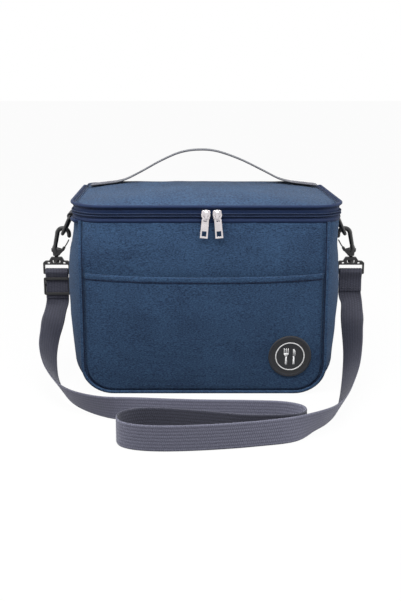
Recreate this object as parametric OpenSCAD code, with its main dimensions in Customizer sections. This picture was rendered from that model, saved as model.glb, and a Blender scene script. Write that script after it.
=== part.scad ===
// Soft insulated lunch bag with a zipped lid, a top handle and a clip-on shoulder strap.
// Origin: centre of the base on the surface it stands on. +X right, +Y back, +Z up.

/* [Bag] */
// Half of the front panel's width
panel_half_w = 127; // [110:1:140]
// Depth from the front seam to the back seam
bag_depth = 160; // [140:2:180]
// Height of the body up to the zip
body_h = 183; // [160:1:200]
// Radius of the panels' two bottom corners
corner_r = 32; // [20:1:40]
// How far the side walls bulge past the panels
side_bulge = 17; // [12:0.5:18]
// Thickness of the outer fabric
fabric_t = 1.5; // [1:0.1:1.8]
// Thickness of the insulating foam
foam_t = 4; // [2:0.5:5]

/* [Lid] */
// Height of the zip band between the body and the lid's top
band_h = 15; // [12:0.5:18]
// How far the lid's middle stands above its edge
lid_crown = 6; // [2:0.5:8]
// How much higher the lid's back edge is than its front edge
lid_rise = 3; // [0:0.5:4]
// Radius of the lid's front corners, seen from above
lid_corner_r = 26; // [18:1:30]

/* [Zip] */
// Thickness of the zip tape
tape_t = 1.2; // [1:0.1:1.5]
// Distance of each zip slider from the middle at rest
slider_x = 5.6; // [5.4:0.2:20]
// Length of a pull tab below its pivot
pull_len = 27; // [20:1:32]

/* [Webbing and hardware] */
// Width of the webbing
webbing_w = 25; // [20:1:25]
// Thickness of the webbing
webbing_t = 1.6; // [1.2:0.1:1.8]
// Diameter of the D-ring's wire
ring_d = 4; // [3:0.2:4.4]
// Diameter of the hook's hoop
hook_d = 5; // [4:0.2:5.4]

/* [Pocket and badge] */
// Height of the pocket's mouth at its sides
pocket_h = 130; // [110:1:140]
// How far the pocket bulges from the front panel
pocket_bulge = 7.5; // [6.5:0.5:9]
// Radius of the round badge
badge_r = 22.5; // [15:0.5:25]

/* [Hidden] */

eps = 0.01;
half_d = bag_depth / 2;
panel_y = half_d - fabric_t;
foam_y = panel_y - foam_t;
liner_t = 0.8;
liner_lap = 0.2;
layer_gap = 0.3;
liner_y = foam_y - liner_t;
foam_in = fabric_t + layer_gap + foam_t;
liner_out = foam_in + layer_gap;
liner_in = liner_out + liner_t;
bulge_shape = 4;
bulge_ends = 0.7;
arc_steps = 8;
wall_steps = 9;
across_steps = 12;

// The zip runs round three sides: half width, half depth and the height of its middle.
zip_half_w = panel_half_w + 0.8 * side_bulge;
zip_half_d = half_d;
tape_h = band_h / 2 - 0.15;
zip_z = body_h + band_h / 2;
lid_z = body_h + band_h;
lid_gap = 0.6;
lid_back_y = half_d - 1;
coil_d = 2.2;
coil_gap = 0.2;
zip_low_z = body_h + 0.1;
binding_h = 4;
binding_t = 0.9;
piping_d = 3.4;

navy = [0.10, 0.14, 0.32];
blue = [0.20, 0.30, 0.46];
black = [0.03, 0.03, 0.035];
grey = [0.26, 0.26, 0.33];
foil = [0.75, 0.76, 0.78];
foam_white = [0.85, 0.85, 0.83];
metal = [0.78, 0.76, 0.76];
white = [0.93, 0.93, 0.93];

// ---- Lofting: each ring is a list of points, and the ends are capped. ----
function flat(lists) = [for (l = lists) for (p = l) p];
function side_faces(n, k) = [
    for (i = [0 : n - 2])
    for (j = [0 : k - 1])
        [i * k + j, i * k + (j + 1) % k, (i + 1) * k + (j + 1) % k, (i + 1) * k + j]
];
function cap_faces(n, k) = [[for (j = [k - 1 : -1 : 0]) j], [for (j = [0 : k - 1]) (n - 1) * k + j]];
module loft(rings) {
    n = len(rings);
    k = len(rings[0]);
    polyhedron(points = flat(rings), faces = concat(side_faces(n, k), cap_faces(n, k)), convexity = 8);
}

function unit(v) = v / norm(v);
function backwards(list) = [for (i = [len(list) - 1 : -1 : 0]) list[i]];

// ---- The U-shaped seam line in the XZ plane, from top left round the base to top right. ----
// Each station is [x, z, outward angle, bulge].
function wall_bulge(z) = side_bulge * (bulge_ends + (1 - bulge_ends) * sin(180 * z / (body_h + 10)));
function left_wall() = [
    for (i = [0 : wall_steps])
        let (z = body_h - (body_h - corner_r) * i / wall_steps)
        [-panel_half_w, z, 180, wall_bulge(z)]
];
function left_arc() = [
    for (i = [1 : arc_steps])
        let (a = 180 + 90 * i / arc_steps)
        [
            -panel_half_w + corner_r + corner_r * cos(a), corner_r + corner_r * sin(a), a,
            wall_bulge(corner_r) * pow(cos(90 * i / arc_steps), 2)
        ]
];
function half_seam() = concat(left_wall(), left_arc());
function mirror_station(s) = [-s[0], s[1], 180 - s[2], s[3]];
function seam_line() =
    let (h = half_seam(), n = len(h))
    concat(h, [for (i = [n - 1 : -1 : 0]) mirror_station(h[i])]);

// A point off the seam line: inset inward from the bulged surface at depth y.
crown_stations = [
    for (i = [0 : across_steps])
        let (y = panel_y * (2 * i / across_steps - 1))
        [y, 1 - pow(abs(y) / panel_y, bulge_shape)]
];
function crown_at(y) = lookup(y, crown_stations);
function across(reach) = concat([-reach], [for (c = crown_stations) if (abs(c[0]) < reach) c[0]], [reach]);
function wall_point(s, y, inset) =
    let (r = s[3] * crown_at(y) - inset)
    [s[0] + r * cos(s[2]), y, s[1] + r * sin(s[2])];
function wall_ring(s, reach, outer, inner) = concat(
    [for (y = backwards(across(reach))) wall_point(s, y, outer)],
    [for (y = across(reach)) wall_point(s, y, inner)]
);
module wall(reach, outer, inner) {
    loft([for (s = seam_line()) wall_ring(s, reach, outer, inner)]);
}

// The panels' outline, inset by the given amount, with round bottom corners.
module panel_outline(inset, top = body_h) {
    w = panel_half_w - inset;
    r = corner_r - inset;
    translate([-w, corner_r])
        square([2 * w, top - corner_r]);
    translate([-w + r, inset])
        square([2 * (w - r), corner_r]);
    for (side = [-1, 1])
        translate([side * (w - r), corner_r])
            circle(r = r, $fn = 64);
}
module upright(y, t) {
    translate([0, y + t, 0])
        rotate([90, 0, 0])
            linear_extrude(height = t)
                children();
}
// A slab of fabric, foam or film in the panels' outline.
module panel_slab(inset, y, t) {
    upright(y, t)
        panel_outline(inset);
}

module front_panel() {
    color(blue)
        panel_slab(0, -half_d, fabric_t);
}
module back_panel() {
    color(blue)
        panel_slab(0, panel_y, fabric_t);
}
module gusset() {
    color(blue)
        wall(panel_y, 0, fabric_t);
}
module front_foam() {
    color(foam_white)
        panel_slab(fabric_t + layer_gap, -panel_y, foam_t);
}
module back_foam() {
    color(foam_white)
        panel_slab(fabric_t + layer_gap, foam_y, foam_t);
}
module gusset_foam() {
    color(foam_white)
        wall(foam_y, fabric_t + layer_gap, foam_in);
}
module foil_liner() {
    color(foil) {
        wall(foam_y - liner_lap, liner_out, liner_in);
        panel_slab(liner_out + liner_lap, -foam_y, liner_t);
        panel_slab(liner_out + liner_lap, liner_y, liner_t);
    }
}

// ---- Piping: a round cord laid along the seam line. ----
piping_sides = 8;
function piping_ring(s, y, d) = [
    for (j = [0 : piping_sides - 1])
        let (a = 360 * j / piping_sides, r = d / 2 * cos(a))
        [s[0] + r * cos(s[2]), y + d / 2 * sin(a), s[1] + r * sin(s[2])]
];
// The piping stays above the floor along the base.
piping_lift = piping_d / 2;
function lifted(s) = [s[0] - piping_lift * cos(s[2]), s[1] - piping_lift * sin(s[2]), s[2], s[3]];
module piping(y) {
    color(navy)
        loft([for (s = seam_line()) piping_ring(lifted(s), y, piping_d)]);
}
module front_piping() {
    piping(-half_d - piping_d / 2);
}
module back_piping() {
    piping(half_d + piping_d / 2);
}

// ---- Front pocket: a sheet that bulges forward of the front panel, open at the top. ----
pocket_foot = piping_d + 0.3;
pocket_half_w = panel_half_w - pocket_foot;
pocket_dip = 3;
pocket_steps_x = 24;
pocket_steps_z = 8;
hem_h = 7;
hem_t = 0.8;
function pocket_mouth(x) = pocket_h - pocket_dip * (1 - pow(x / pocket_half_w, 2));
function pocket_bottom(x) =
    let (r = corner_r - pocket_foot, over = max(0, abs(x) - (pocket_half_w - r)))
    pocket_foot + r - sqrt(max(0, r * r - over * over));
// Bulge of the sheet's back face at x and at height z.
function pocket_out(x, z) =
    let (low = pocket_bottom(x), rise = (z - low) / (pocket_mouth(x) - low))
    pocket_bulge * (1 - pow(x / pocket_half_w, 4)) * pow(sin(90 * min(1, max(0, rise))), 0.7);
function sheet_ring(x, low, high, back, front) = concat(
    [for (i = [0 : pocket_steps_z])
        let (z = low + (high - low) * i / pocket_steps_z)
        [x, -half_d - pocket_out(x, z) - front, z]],
    [for (i = [pocket_steps_z : -1 : 0])
        let (z = low + (high - low) * i / pocket_steps_z)
        [x, -half_d - pocket_out(x, z) - back, z]]
);
function pocket_x(i) = pocket_half_w * (2 * i / pocket_steps_x - 1);
module pocket_panel() {
    color(blue)
        loft([
            for (i = [0 : pocket_steps_x])
                let (x = pocket_x(i))
                sheet_ring(x, pocket_bottom(x), pocket_mouth(x), 0, fabric_t)
        ]);
}
module pocket_hem() {
    color(blue)
        loft([
            for (i = [0 : pocket_steps_x])
                let (x = pocket_x(i), top = pocket_mouth(x))
                sheet_ring(x, top - hem_h, top, fabric_t, fabric_t + hem_t)
        ]);
}

// ---- Round badge: a rubber disc that lies on the pocket, with a raised print. ----
badge_x = 90;
badge_z = 42;
badge_t = 1.6;
print_t = 0.3;
print_r = 15.5;
print_w = 1.2;
badge_sides = 32;
function badge_point(r, a, out) =
    let (x = badge_x + r * cos(a), z = badge_z + r * sin(a))
    [x, -half_d - pocket_out(x, z) - fabric_t - out, z];
function badge_ring(r, out) = [for (j = [0 : badge_sides - 1]) badge_point(r, 360 * j / badge_sides, out)];
module badge_disc(radii, back, front) {
    n = len(radii);
    loft(concat(
        [for (i = [0 : n - 1]) badge_ring(radii[i], front)],
        [for (i = [n - 1 : -1 : 0]) badge_ring(radii[i], back)]
    ));
}
module badge() {
    color(black)
        badge_disc([0.5, badge_r * 0.35, badge_r * 0.7, badge_r], 0, badge_t);
}
module badge_print() {
    color(white)
        difference() {
            badge_disc([0.5, print_r * 0.5, print_r], badge_t, badge_t + print_t);
            badge_disc([0.4, print_r * 0.5, print_r - print_w], badge_t - 1, badge_t + print_t + 1);
        }
}

// ---- The zip's line, seen from above: back left, round the front, back right. ----
// Each station is [x, y, outward angle].
zip_tail_y = half_d - 12;
zip_side_steps = 4;
function left_zip() = concat(
    [for (i = [0 : zip_side_steps])
        let (end_y = -zip_half_d + lid_corner_r)
        [-zip_half_w, zip_tail_y + (end_y - zip_tail_y) * i / zip_side_steps, 180]],
    [for (i = [1 : arc_steps])
        let (a = 180 + 90 * i / arc_steps)
        [
            -zip_half_w + lid_corner_r + lid_corner_r * cos(a),
            -zip_half_d + lid_corner_r + lid_corner_r * sin(a), a
        ]]
);
function zip_line() =
    let (h = left_zip(), n = len(h))
    concat(h, [for (i = [n - 1 : -1 : 0]) [-h[i][0], h[i][1], 180 - h[i][2]]]);
function off_zip(s, out, z) = [s[0] + out * cos(s[2]), s[1] + out * sin(s[2]), z];
// A band that stands on the zip's line between two heights and two distances outward.
module zip_band(low, high, inner, outer) {
    loft([
        for (s = zip_line())
            [off_zip(s, inner, low), off_zip(s, outer, low), off_zip(s, outer, high), off_zip(s, inner, high)]
    ]);
}
module zip_cord(z, out, d) {
    loft([
        for (s = zip_line())
            [
                for (j = [0 : piping_sides - 1])
                    let (a = 360 * j / piping_sides)
                    off_zip(s, out + d / 2 * cos(a), z - d / 2 * sin(a))
            ]
    ]);
}
module zip_tape_lower() {
    color(navy)
        zip_band(zip_low_z, body_h + tape_h, -tape_t, 0);
}
module zip_tape_upper() {
    color(navy)
        zip_band(lid_z - tape_h, lid_z, -tape_t, 0);
}
module zip_coil_lower() {
    color(navy)
        zip_cord(zip_z - coil_gap - coil_d / 2, coil_d / 2, coil_d);
}
module zip_coil_upper() {
    color(navy)
        zip_cord(zip_z + coil_gap + coil_d / 2, coil_d / 2, coil_d);
}
module rim_binding() {
    color(navy)
        zip_band(zip_low_z, body_h + binding_h, 0, binding_t);
}

// ---- Lid: its outline is the zip's line closed along the back. ----
lid_side_x = zip_half_w - tape_t;
// The back corners are cut off: distances along the back and along the side.
lid_cut = [6, 1];
lid_cut_y = lid_back_y - 4;
function lid_outline() = concat(
    [[-lid_side_x + lid_cut[0], lid_back_y], [-lid_side_x + lid_cut[1], lid_cut_y]],
    [for (s = zip_line()) [s[0] - tape_t * cos(s[2]), s[1] - tape_t * sin(s[2])]],
    [[lid_side_x - lid_cut[1], lid_cut_y], [lid_side_x - lid_cut[0], lid_back_y]]
);
lid_t = 2;
lid_foam_t = 6;
lid_shrinks = [0.1, 0.4, 0.65, 0.85, 1];
function lid_height(y, k) = lid_rise * (y + half_d) / bag_depth + lid_crown * (1 - pow(k, 3));
function lid_ring(k, base) = [
    for (p = lid_outline())
        [p[0] * k, p[1] * k, base + lid_height(p[1] * k, k)]
];
// A domed sheet of the lid's outline between two depths below its top.
module lid_sheet(top, t, shrink = 1) {
    n = len(lid_shrinks);
    loft(concat(
        [for (i = [0 : n - 1]) lid_ring(lid_shrinks[i] * shrink, lid_z - top - t)],
        [for (i = [n - 1 : -1 : 0]) lid_ring(lid_shrinks[i] * shrink, lid_z - top)]
    ));
}
foam_shrink = 0.97;
lid_foam_top = lid_t + 0.3;
module lid_top() {
    color(blue)
        lid_sheet(0, lid_t);
}
module lid_foam() {
    color(foam_white)
        lid_sheet(lid_foam_top, lid_foam_t, foam_shrink);
}
module lid_liner() {
    color(foil)
        lid_sheet(lid_foam_top + lid_foam_t, liner_t, foam_shrink);
}
lid_piping_up = 0.9;
module lid_piping() {
    color(navy)
        loft([
            for (s = zip_line())
                let (z = lid_z + lid_piping_up + lid_rise * (s[1] + half_d) / bag_depth)
                [
                    for (j = [0 : piping_sides - 1])
                        let (a = 360 * j / piping_sides)
                        off_zip(s, piping_d / 2 + piping_d / 2 * cos(a), z - piping_d / 2 * sin(a))
                ]
        ]);
}
back_band_t = 1.4;
back_band_half_w = zip_half_w - 9;
back_band_h = band_h + lid_rise - lid_t - lid_gap - 0.4;
module lid_back_band() {
    color(blue)
        translate([-back_band_half_w, lid_back_y - back_band_t, body_h + lid_gap])
            cube([2 * back_band_half_w, back_band_t, back_band_h]);
}
// The cloth hinge's lower half, sewn inside the back panel's top edge.
hinge_strip_h = 14;
hinge_strip_t = 1;
hinge_half_w = panel_half_w - 6;
module hinge_strip() {
    color(navy)
        translate([-hinge_half_w, half_d, body_h - hinge_strip_h])
            cube([2 * hinge_half_w, hinge_strip_t, hinge_strip_h]);
}

// ---- Catmull-Rom curves through hand-placed points. ----
function spline(a, b, c, d, t) =
    0.5 * (2 * b + (c - a) * t + (2 * a - 5 * b + 4 * c - d) * t * t + (3 * b - a - 3 * c + d) * t * t * t);
function clamped(list, i) = list[max(0, min(len(list) - 1, i))];
function smooth(points, steps) = [
    for (i = [0 : (len(points) - 1) * steps])
        let (k = min(floor(i / steps), len(points) - 2), t = i / steps - k)
        spline(clamped(points, k - 1), points[k], points[k + 1], clamped(points, k + 2), t)
];
// A flat band swept along points, with its width along the given directions.
function band_frame(points, widths, i) =
    let (
        t = unit(clamped(points, i + 1) - clamped(points, i - 1)),
        w = unit(widths[i] - (widths[i] * t) * t)
    )
    [w, cross(t, w)];
function band_ring(p, frame, width, t) =
    let (w = frame[0] * width / 2, n = frame[1] * t / 2, e = 0.94)
    [p - w, p - w * e - n, p + w * e - n, p + w, p + w * e + n, p - w * e + n];
module band(points, widths, width, t) {
    loft([
        for (i = [0 : len(points) - 1])
            band_ring(points[i], band_frame(points, widths, i), width, t)
    ]);
}

// ---- Top handle: webbing that arches over the lid, its ends sewn down flat. ----
handle_y = 45;
handle_points = [
    [-127, 0, 203], [-112, 0, 204.2], [-98, 0, 205.6], [-86, 0, 209], [-70, 0, 217],
    [-48, 0, 229], [-27, 0, 238], [-7, 0, 241], [14, 0, 239.5], [40, 0, 231],
    [66, 0, 218.5], [84, 0, 209.5], [98, 0, 205.6], [112, 0, 204.2], [127, 0, 203]
];
module handle() {
    path = smooth(handle_points, 4);
    color(black)
        translate([0, handle_y, 0])
            band(path, [for (p = path) [0, 1, 0]], webbing_w, webbing_t);
}
stitch_x = 112;
stitch_w = 16;
stitch_d = 0.5;
stitch_z = 205.36;
stitch_lean = 5;
stitch_in = 3;
module handle_stitching() {
    color(white)
        for (side = [-1, 1])
            for (row = [-1, 1])
                translate([side * stitch_x, handle_y + row * (webbing_w / 2 - stitch_in), stitch_z])
                    rotate([0, side * stitch_lean, 0])
                        cube([stitch_w, stitch_d, stitch_d], center = true);
}

// ---- Zip sliders and their pull tabs. ----
zip_meet_x = 7.7;
slider_w = 9;
slider_h = 11;
slider_gap = 0.4;
slider_t = 2.4;
slider_y = -zip_half_d - coil_d - slider_gap - slider_t;
bridge_w = 3;
bridge_t = 1.2;
bridge_rise = 3.4;
bridge_half_h = 4.6;
bridge_up = 1.6;
module slider(x) {
    color(metal)
        translate([x, slider_y, zip_z]) {
            translate([-slider_w / 2, 0, -slider_h / 2])
                cube([slider_w, slider_t, slider_h]);
            for (end = [-1, 1])
                translate([-bridge_w / 2, -bridge_rise, bridge_up + end * bridge_half_h - bridge_t / 2])
                    cube([bridge_w, bridge_rise + eps, bridge_t]);
            translate([-bridge_w / 2, -bridge_rise - bridge_t, bridge_up - bridge_half_h - bridge_t / 2])
                cube([bridge_w, bridge_t, 2 * bridge_half_h + bridge_t]);
        }
}
pivot_y = slider_y - 1.9;
pivot_z = zip_z + 4.2;
pin_r = 0.8;
pull_w = 8;
pull_t = 1.3;
pull_top = 8.6;
// Two arms join the pin to the tab.
arm_x = 3.5;
arm_w = 1.6;
arm_h = 9.8;
arm_z = -4.5;
pin_len = 2 * arm_x + 0.8;
// The tab has a window near its foot and a slot near its top.
window_w = 4.4;
window_h = 5;
window_low = 2;
slot_w = 3.2;
slot_h = 2.4;
slot_z = -12;
// The tab hangs from a cross pin that runs under the slider's bridge.
module pull(x, lean) {
    color(metal)
        translate([x, pivot_y, pivot_z]) {
            rotate([0, 90, 0])
                cylinder(r = pin_r, h = pin_len, center = true, $fn = 32);
            rotate([0, lean, 0])
                difference() {
                    union() {
                        for (side = [-1, 1])
                            translate([side * arm_x, 0, arm_z])
                                cube([arm_w, pull_t, arm_h], center = true);
                        translate([-pull_w / 2, -pull_t / 2, -pull_len])
                            cube([pull_w, pull_t, pull_len - pull_top]);
                    }
                    translate([-window_w / 2, -pull_t, window_low - pull_len])
                        cube([window_w, 2 * pull_t, window_h]);
                    translate([-slot_w / 2, -pull_t, slot_z])
                        cube([slot_w, 2 * pull_t, slot_h]);
                }
        }
}
module left_slider() {
    slider(zip_meet_x - slider_x);
}
module right_slider() {
    slider(zip_meet_x + slider_x);
}
pull_lean = 5;
module left_pull() {
    pull(zip_meet_x - slider_x, pull_lean);
}
module right_pull() {
    pull(zip_meet_x + slider_x, -pull_lean);
}

// ---- Side hardware, drawn for the right side: everything hangs from the ring's bar. ----
ring_x = panel_half_w + side_bulge + 0.8;
ring_z = body_h - 5;
ring_r = ring_d / 2;
ring_gap = 0.3;
ring_reach = 22;
ring_tilt = 25;
ring_half = 17;
tab_low_z = 140;
tab_high_z = ring_z - 5;
tab_steps = 5;
tab_gap = 0.15;
tab_neck = [[ring_x - 0.5, ring_z - 2.5], [ring_x, ring_z - 3]];
function wall_x(z) = panel_half_w + wall_bulge(z);
function tab_side(out) = [
    for (i = [0 : tab_steps])
        let (z = tab_low_z + (tab_high_z - tab_low_z) * i / tab_steps)
        [wall_x(z) + tab_gap + out, z]
];
// Extrudes an outline drawn in X and Z along Y, centred.
module along_y(width) {
    translate([0, width / 2, 0])
        rotate([90, 0, 0])
            linear_extrude(height = width)
                children();
}
module ring_tab() {
    color(black)
        difference() {
            union() {
                along_y(webbing_w)
                    polygon(concat(tab_side(0), tab_neck, backwards(tab_side(webbing_t))));
                along_y(webbing_w)
                    translate([ring_x, ring_z])
                        circle(r = ring_r + ring_gap + webbing_t, $fn = 48);
            }
            translate([ring_x, 0, ring_z])
                rotate([90, 0, 0])
                    cylinder(r = ring_r + ring_gap, h = webbing_w + 2, center = true, $fn = 48);
        }
}
// A knob at a rod's end is a little fatter than the rod.
knob_extra = 0.3;
module rod(a, b, r) {
    v = b - a;
    h = norm(v);
    turn = atan2(v[1], v[0]);
    tip = acos(v[2] / h);
    translate(a)
        rotate([0, tip, turn])
            cylinder(r = r, h = h, $fn = 32);
}
module knob(p, r) {
    translate(p)
        sphere(r = r, $fn = 32);
}
// The ring's sides draw in towards its bow.
bow_half = ring_half - 5;
module d_ring() {
    color(black)
        translate([ring_x, 0, ring_z])
            rotate([0, -ring_tilt, 0]) {
                rod([0, -ring_half, 0], [0, ring_half, 0], ring_r);
                rod([0, -bow_half, -ring_reach], [0, bow_half, -ring_reach], ring_r);
                for (side = [-1, 1]) {
                    knob([0, side * ring_half, 0], ring_r + knob_extra);
                    knob([0, side * bow_half, -ring_reach], ring_r + knob_extra);
                    rod([0, side * ring_half, 0], [0, side * bow_half, -ring_reach], ring_r);
                }
            }
}
hook_r = hook_d / 2;
hook_bend = 6.5;
hook_play = 0.15;
bow_x = ring_x + ring_reach * sin(ring_tilt);
bow_z = ring_z - ring_reach * cos(ring_tilt);
hook_x = bow_x + 0.6;
hook_z = bow_z + ring_r + hook_play + hook_r - hook_bend;
stem_x = 163;
stem_z = 132;
hook_foot_x = stem_x + 1.5;
hook_foot_z = stem_z + 7;
tip_z = hook_z - 5;
// The hook's shoulder over the swivel, drawn from the stem's top.
shoulder = [[-8, 4], [-9.5, 6.2], [-5.6, 7.2], [4.6, 7.2], [5.6, 5], [3, 0], [-3, 0]];
module hook_outline() {
    outer_x = hook_x + hook_bend;
    inner_x = hook_x - hook_bend;
    difference() {
        translate([hook_x, hook_z])
            circle(r = hook_bend + hook_r, $fn = 96);
        translate([hook_x, hook_z])
            circle(r = hook_bend - hook_r, $fn = 96);
        translate([hook_x - 2 * hook_bend, hook_z - 4 * hook_bend])
            square([4 * hook_bend, 4 * hook_bend]);
    }
    polygon([
        [outer_x - hook_r, hook_z + eps], [outer_x + hook_r, hook_z + eps],
        [hook_foot_x + hook_r, hook_foot_z], [hook_foot_x - hook_r, hook_foot_z]
    ]);
    translate([inner_x - hook_r, tip_z])
        square([hook_d, hook_z - tip_z + eps]);
    translate([stem_x, stem_z])
        polygon(shoulder);
}
stem_r = 2;
stem_low = 5;
stem_len = 7;
stem_foot_r = 3.4;
stem_foot_h = 2.4;
module hook() {
    color(black) {
        along_y(hook_d)
            hook_outline();
        translate([stem_x, 0, stem_z - stem_low])
            cylinder(r = stem_r, h = stem_len, $fn = 32);
        translate([stem_x, 0, stem_z - stem_low - stem_foot_h])
            cylinder(r = stem_foot_r, h = stem_foot_h, $fn = 32);
    }
}
// Sprung lever that closes the hook's mouth.
gate_x = stem_x - 8.6;
gate_z = hook_foot_z + 1.6;
gate_top_x = hook_x - hook_bend - 0.2;
gate_top_z = tip_z - 1.4;
gate_bow_x = gate_top_x - 0.6;
gate_bow_z = (gate_z + gate_top_z) / 2;
gate_w = 4;
gate_t = 1.5;
gate_foot = 1;
gate_knuckle_r = 1.6;
module gate() {
    color(black) {
        translate([gate_x, 0, gate_z])
            rotate([90, 0, 0])
                cylinder(r = gate_knuckle_r, h = gate_w, center = true, $fn = 32);
        along_y(gate_w)
            polygon([
                [gate_x - gate_foot, gate_z], [gate_bow_x, gate_bow_z], [gate_top_x, gate_top_z],
                [gate_top_x + gate_t, gate_top_z], [gate_bow_x + gate_t, gate_bow_z],
                [gate_x + gate_foot, gate_z + 0.6]
            ]);
    }
}
frame_half_w = 14.8;
frame_slot_top = 122;
frame_slot_low = 115.5;
frame_bar_low = 111.5;
frame_t = 4.4;
frame_bore_r = 2.3;
frame_bore_h = 12;
frame_eye_top = stem_z - 1.3;
// Right half of the frame's upper edge, from the side to the eye.
frame_edge = [
    [frame_half_w, frame_slot_top + 2], [frame_half_w - 3, frame_slot_top + 4], [8, frame_slot_top + 4],
    [5.6, frame_eye_top]
];
// A window behind the eye shows the stem's foot.
eye_half_w = 4.2;
eye_low = stem_z - 8.1;
eye_h = 3.2;
// The lower bar is thinner than the frame, so that the webbing lies flush.
bar_half_t = 1.8;
slot_half_w = webbing_w / 2 + 0.5;
recess_h = 6;
// Frame with an eye for the swivel stem above and a slot for the webbing below.
module swivel_frame() {
    color(black)
        translate([stem_x, 0, 0])
            difference() {
                along_y(frame_t)
                    polygon(concat(
                        [[frame_half_w, frame_bar_low]], frame_edge,
                        [for (p = backwards(frame_edge)) [-p[0], p[1]]], [[-frame_half_w, frame_bar_low]]
                    ));
                translate([-slot_half_w, -frame_t, frame_slot_low])
                    cube([2 * slot_half_w, 2 * frame_t, frame_slot_top - frame_slot_low]);
                translate([-slot_half_w, -frame_t, frame_bar_low - 1])
                    cube([2 * slot_half_w, frame_t - bar_half_t, recess_h]);
                translate([-slot_half_w, bar_half_t, frame_bar_low - 1])
                    cube([2 * slot_half_w, frame_t, recess_h]);
                translate([0, 0, frame_slot_top])
                    cylinder(r = frame_bore_r, h = frame_bore_h, $fn = 32);
                translate([-eye_half_w, -frame_t, eye_low])
                    cube([2 * eye_half_w, 2 * frame_t, eye_h]);
            }
}
loop_bar_z = (frame_slot_low + frame_bar_low) / 2;
loop_in = 2.8;
loop_taper = 5.5;
loop_low_right = 94;
loop_low_left = 86;
// Webbing folded round the frame's lower bar and sewn to itself below.
module strap_loop(low) {
    out = loop_in + webbing_t;
    neck = webbing_t + 0.1;
    translate([stem_x + webbing_w / 2, 0, 0])
        rotate([90, 0, -90])
            color(grey)
                linear_extrude(height = webbing_w)
                    difference() {
                        union() {
                            translate([0, loop_bar_z])
                                circle(r = out, $fn = 48);
                            polygon([
                                [-out, loop_bar_z], [-neck, loop_bar_z - loop_taper], [-neck, low],
                                [neck, low], [neck, loop_bar_z - loop_taper], [out, loop_bar_z]
                            ]);
                        }
                        translate([0, loop_bar_z])
                            circle(r = loop_in, $fn = 48);
                    }
}
module right_ring_tab() {
    ring_tab();
}
module left_ring_tab() {
    mirror([1, 0, 0])
        ring_tab();
}
module right_d_ring() {
    d_ring();
}
module left_d_ring() {
    mirror([1, 0, 0])
        d_ring();
}
module right_hook() {
    hook();
}
module left_hook() {
    mirror([1, 0, 0])
        hook();
}
module right_gate() {
    gate();
}
module left_gate() {
    mirror([1, 0, 0])
        gate();
}
module right_swivel_frame() {
    swivel_frame();
}
module left_swivel_frame() {
    mirror([1, 0, 0])
        swivel_frame();
}
module right_strap_loop() {
    strap_loop(loop_low_right);
}
module left_strap_loop() {
    mirror([1, 0, 0])
        strap_loop(loop_low_left);
}
// Three-bar slider on the left loop: two bars in front of the webbing and one behind it.
adjuster_z = 98;
adjuster_w = 29;
adjuster_h = 20;
adjuster_t = 2.4;
adjuster_bar = 3;
adjuster_play = 0.4;
module strap_adjuster() {
    gap_y = webbing_t + 0.3;
    rail_w = (adjuster_w - webbing_w) / 2 - adjuster_play;
    depth = 2 * (gap_y + adjuster_t);
    color(black)
        translate([-stem_x, 0, adjuster_z]) {
            for (side = [-1, 1])
                translate([side * (adjuster_w - rail_w) / 2, 0, 0])
                    cube([rail_w, depth, adjuster_h], center = true);
            for (row = [-1, 1])
                translate([0, -gap_y - adjuster_t / 2, row * (adjuster_h - adjuster_bar) / 2])
                    cube([adjuster_w, adjuster_t, adjuster_bar], center = true);
            translate([0, gap_y + adjuster_t / 2, 0])
                cube([adjuster_w, adjuster_t, adjuster_bar], center = true);
        }
}

// ---- Shoulder strap: webbing from the left loop, along the floor in front, to the right loop. ----
// It stands on its edge on the floor and turns back on itself twice.
strap_points = [
    [-163, 0, 85.2], [-163.3, -0.3, 80], [-164.9, -2.9, 72.6], [-167.1, -11.6, 62.4],
    [-168.1, -33, 51.8], [-166.5, -61.8, 38.6], [-157.1, -95.6, 24.8], [-136.8, -129.6, 15.1],
    [-102.7, -155.4, 12.7], [-60, -166, 13], [-10, -171, 13], [40, -173, 13], [74, -176, 13],
    [92, -185, 13], [96, -198, 13], [87, -209, 13], [64, -212, 13], [36, -211, 13], [0, -202, 13],
    [-40, -194, 13], [-64, -195, 13], [-78, -204, 13], [-81, -217, 13], [-75, -230, 13],
    [-58, -238, 13], [-30, -240, 13], [10, -236, 13], [50, -228, 13], [84, -217, 13],
    [107.6, -197, 13.4], [123.8, -173.9, 11.6], [136.7, -146.8, 12.1], [146.1, -115.8, 16],
    [154.9, -83, 26.7], [160.8, -52, 40.7], [163.4, -27.6, 54.9], [164.9, -11.4, 67.5],
    [165, -3.7, 79.4], [163.2, -0.4, 88], [163, 0, 93.2]
];
// Directions of the band's width: it hangs flat at each end and turns over to stand on its edge.
strap_widths = concat(
    [
        [1, 0, 0], [1, 0, 0], [1, -0.22, -0.1], [0.88, -0.34, -0.45], [0.68, -0.22, -0.73],
        [0.67, -0.06, -0.74], [0.58, 0.11, -0.81], [0.46, 0.26, -0.89], [0.25, 0.23, -0.97]
    ],
    [for (i = [9 : 28]) [0, 0, -1]],
    [
        [-0.22, 0.3, -0.97], [-0.35, 0.35, -0.94], [-0.41, 0.32, -0.91], [-0.55, 0.19, -0.83],
        [-0.7, 0.09, -0.72], [-0.74, -0.02, -0.67], [-0.8, -0.14, -0.6], [-0.94, -0.31, -0.34],
        [-1, -0.28, -0.07], [-1, 0, 0], [-1, 0, 0]
    ]
);
strap_steps = 2;
module shoulder_strap() {
    color(grey)
        band(smooth(strap_points, strap_steps), smooth(strap_widths, strap_steps), webbing_w, webbing_t);
}

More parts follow.
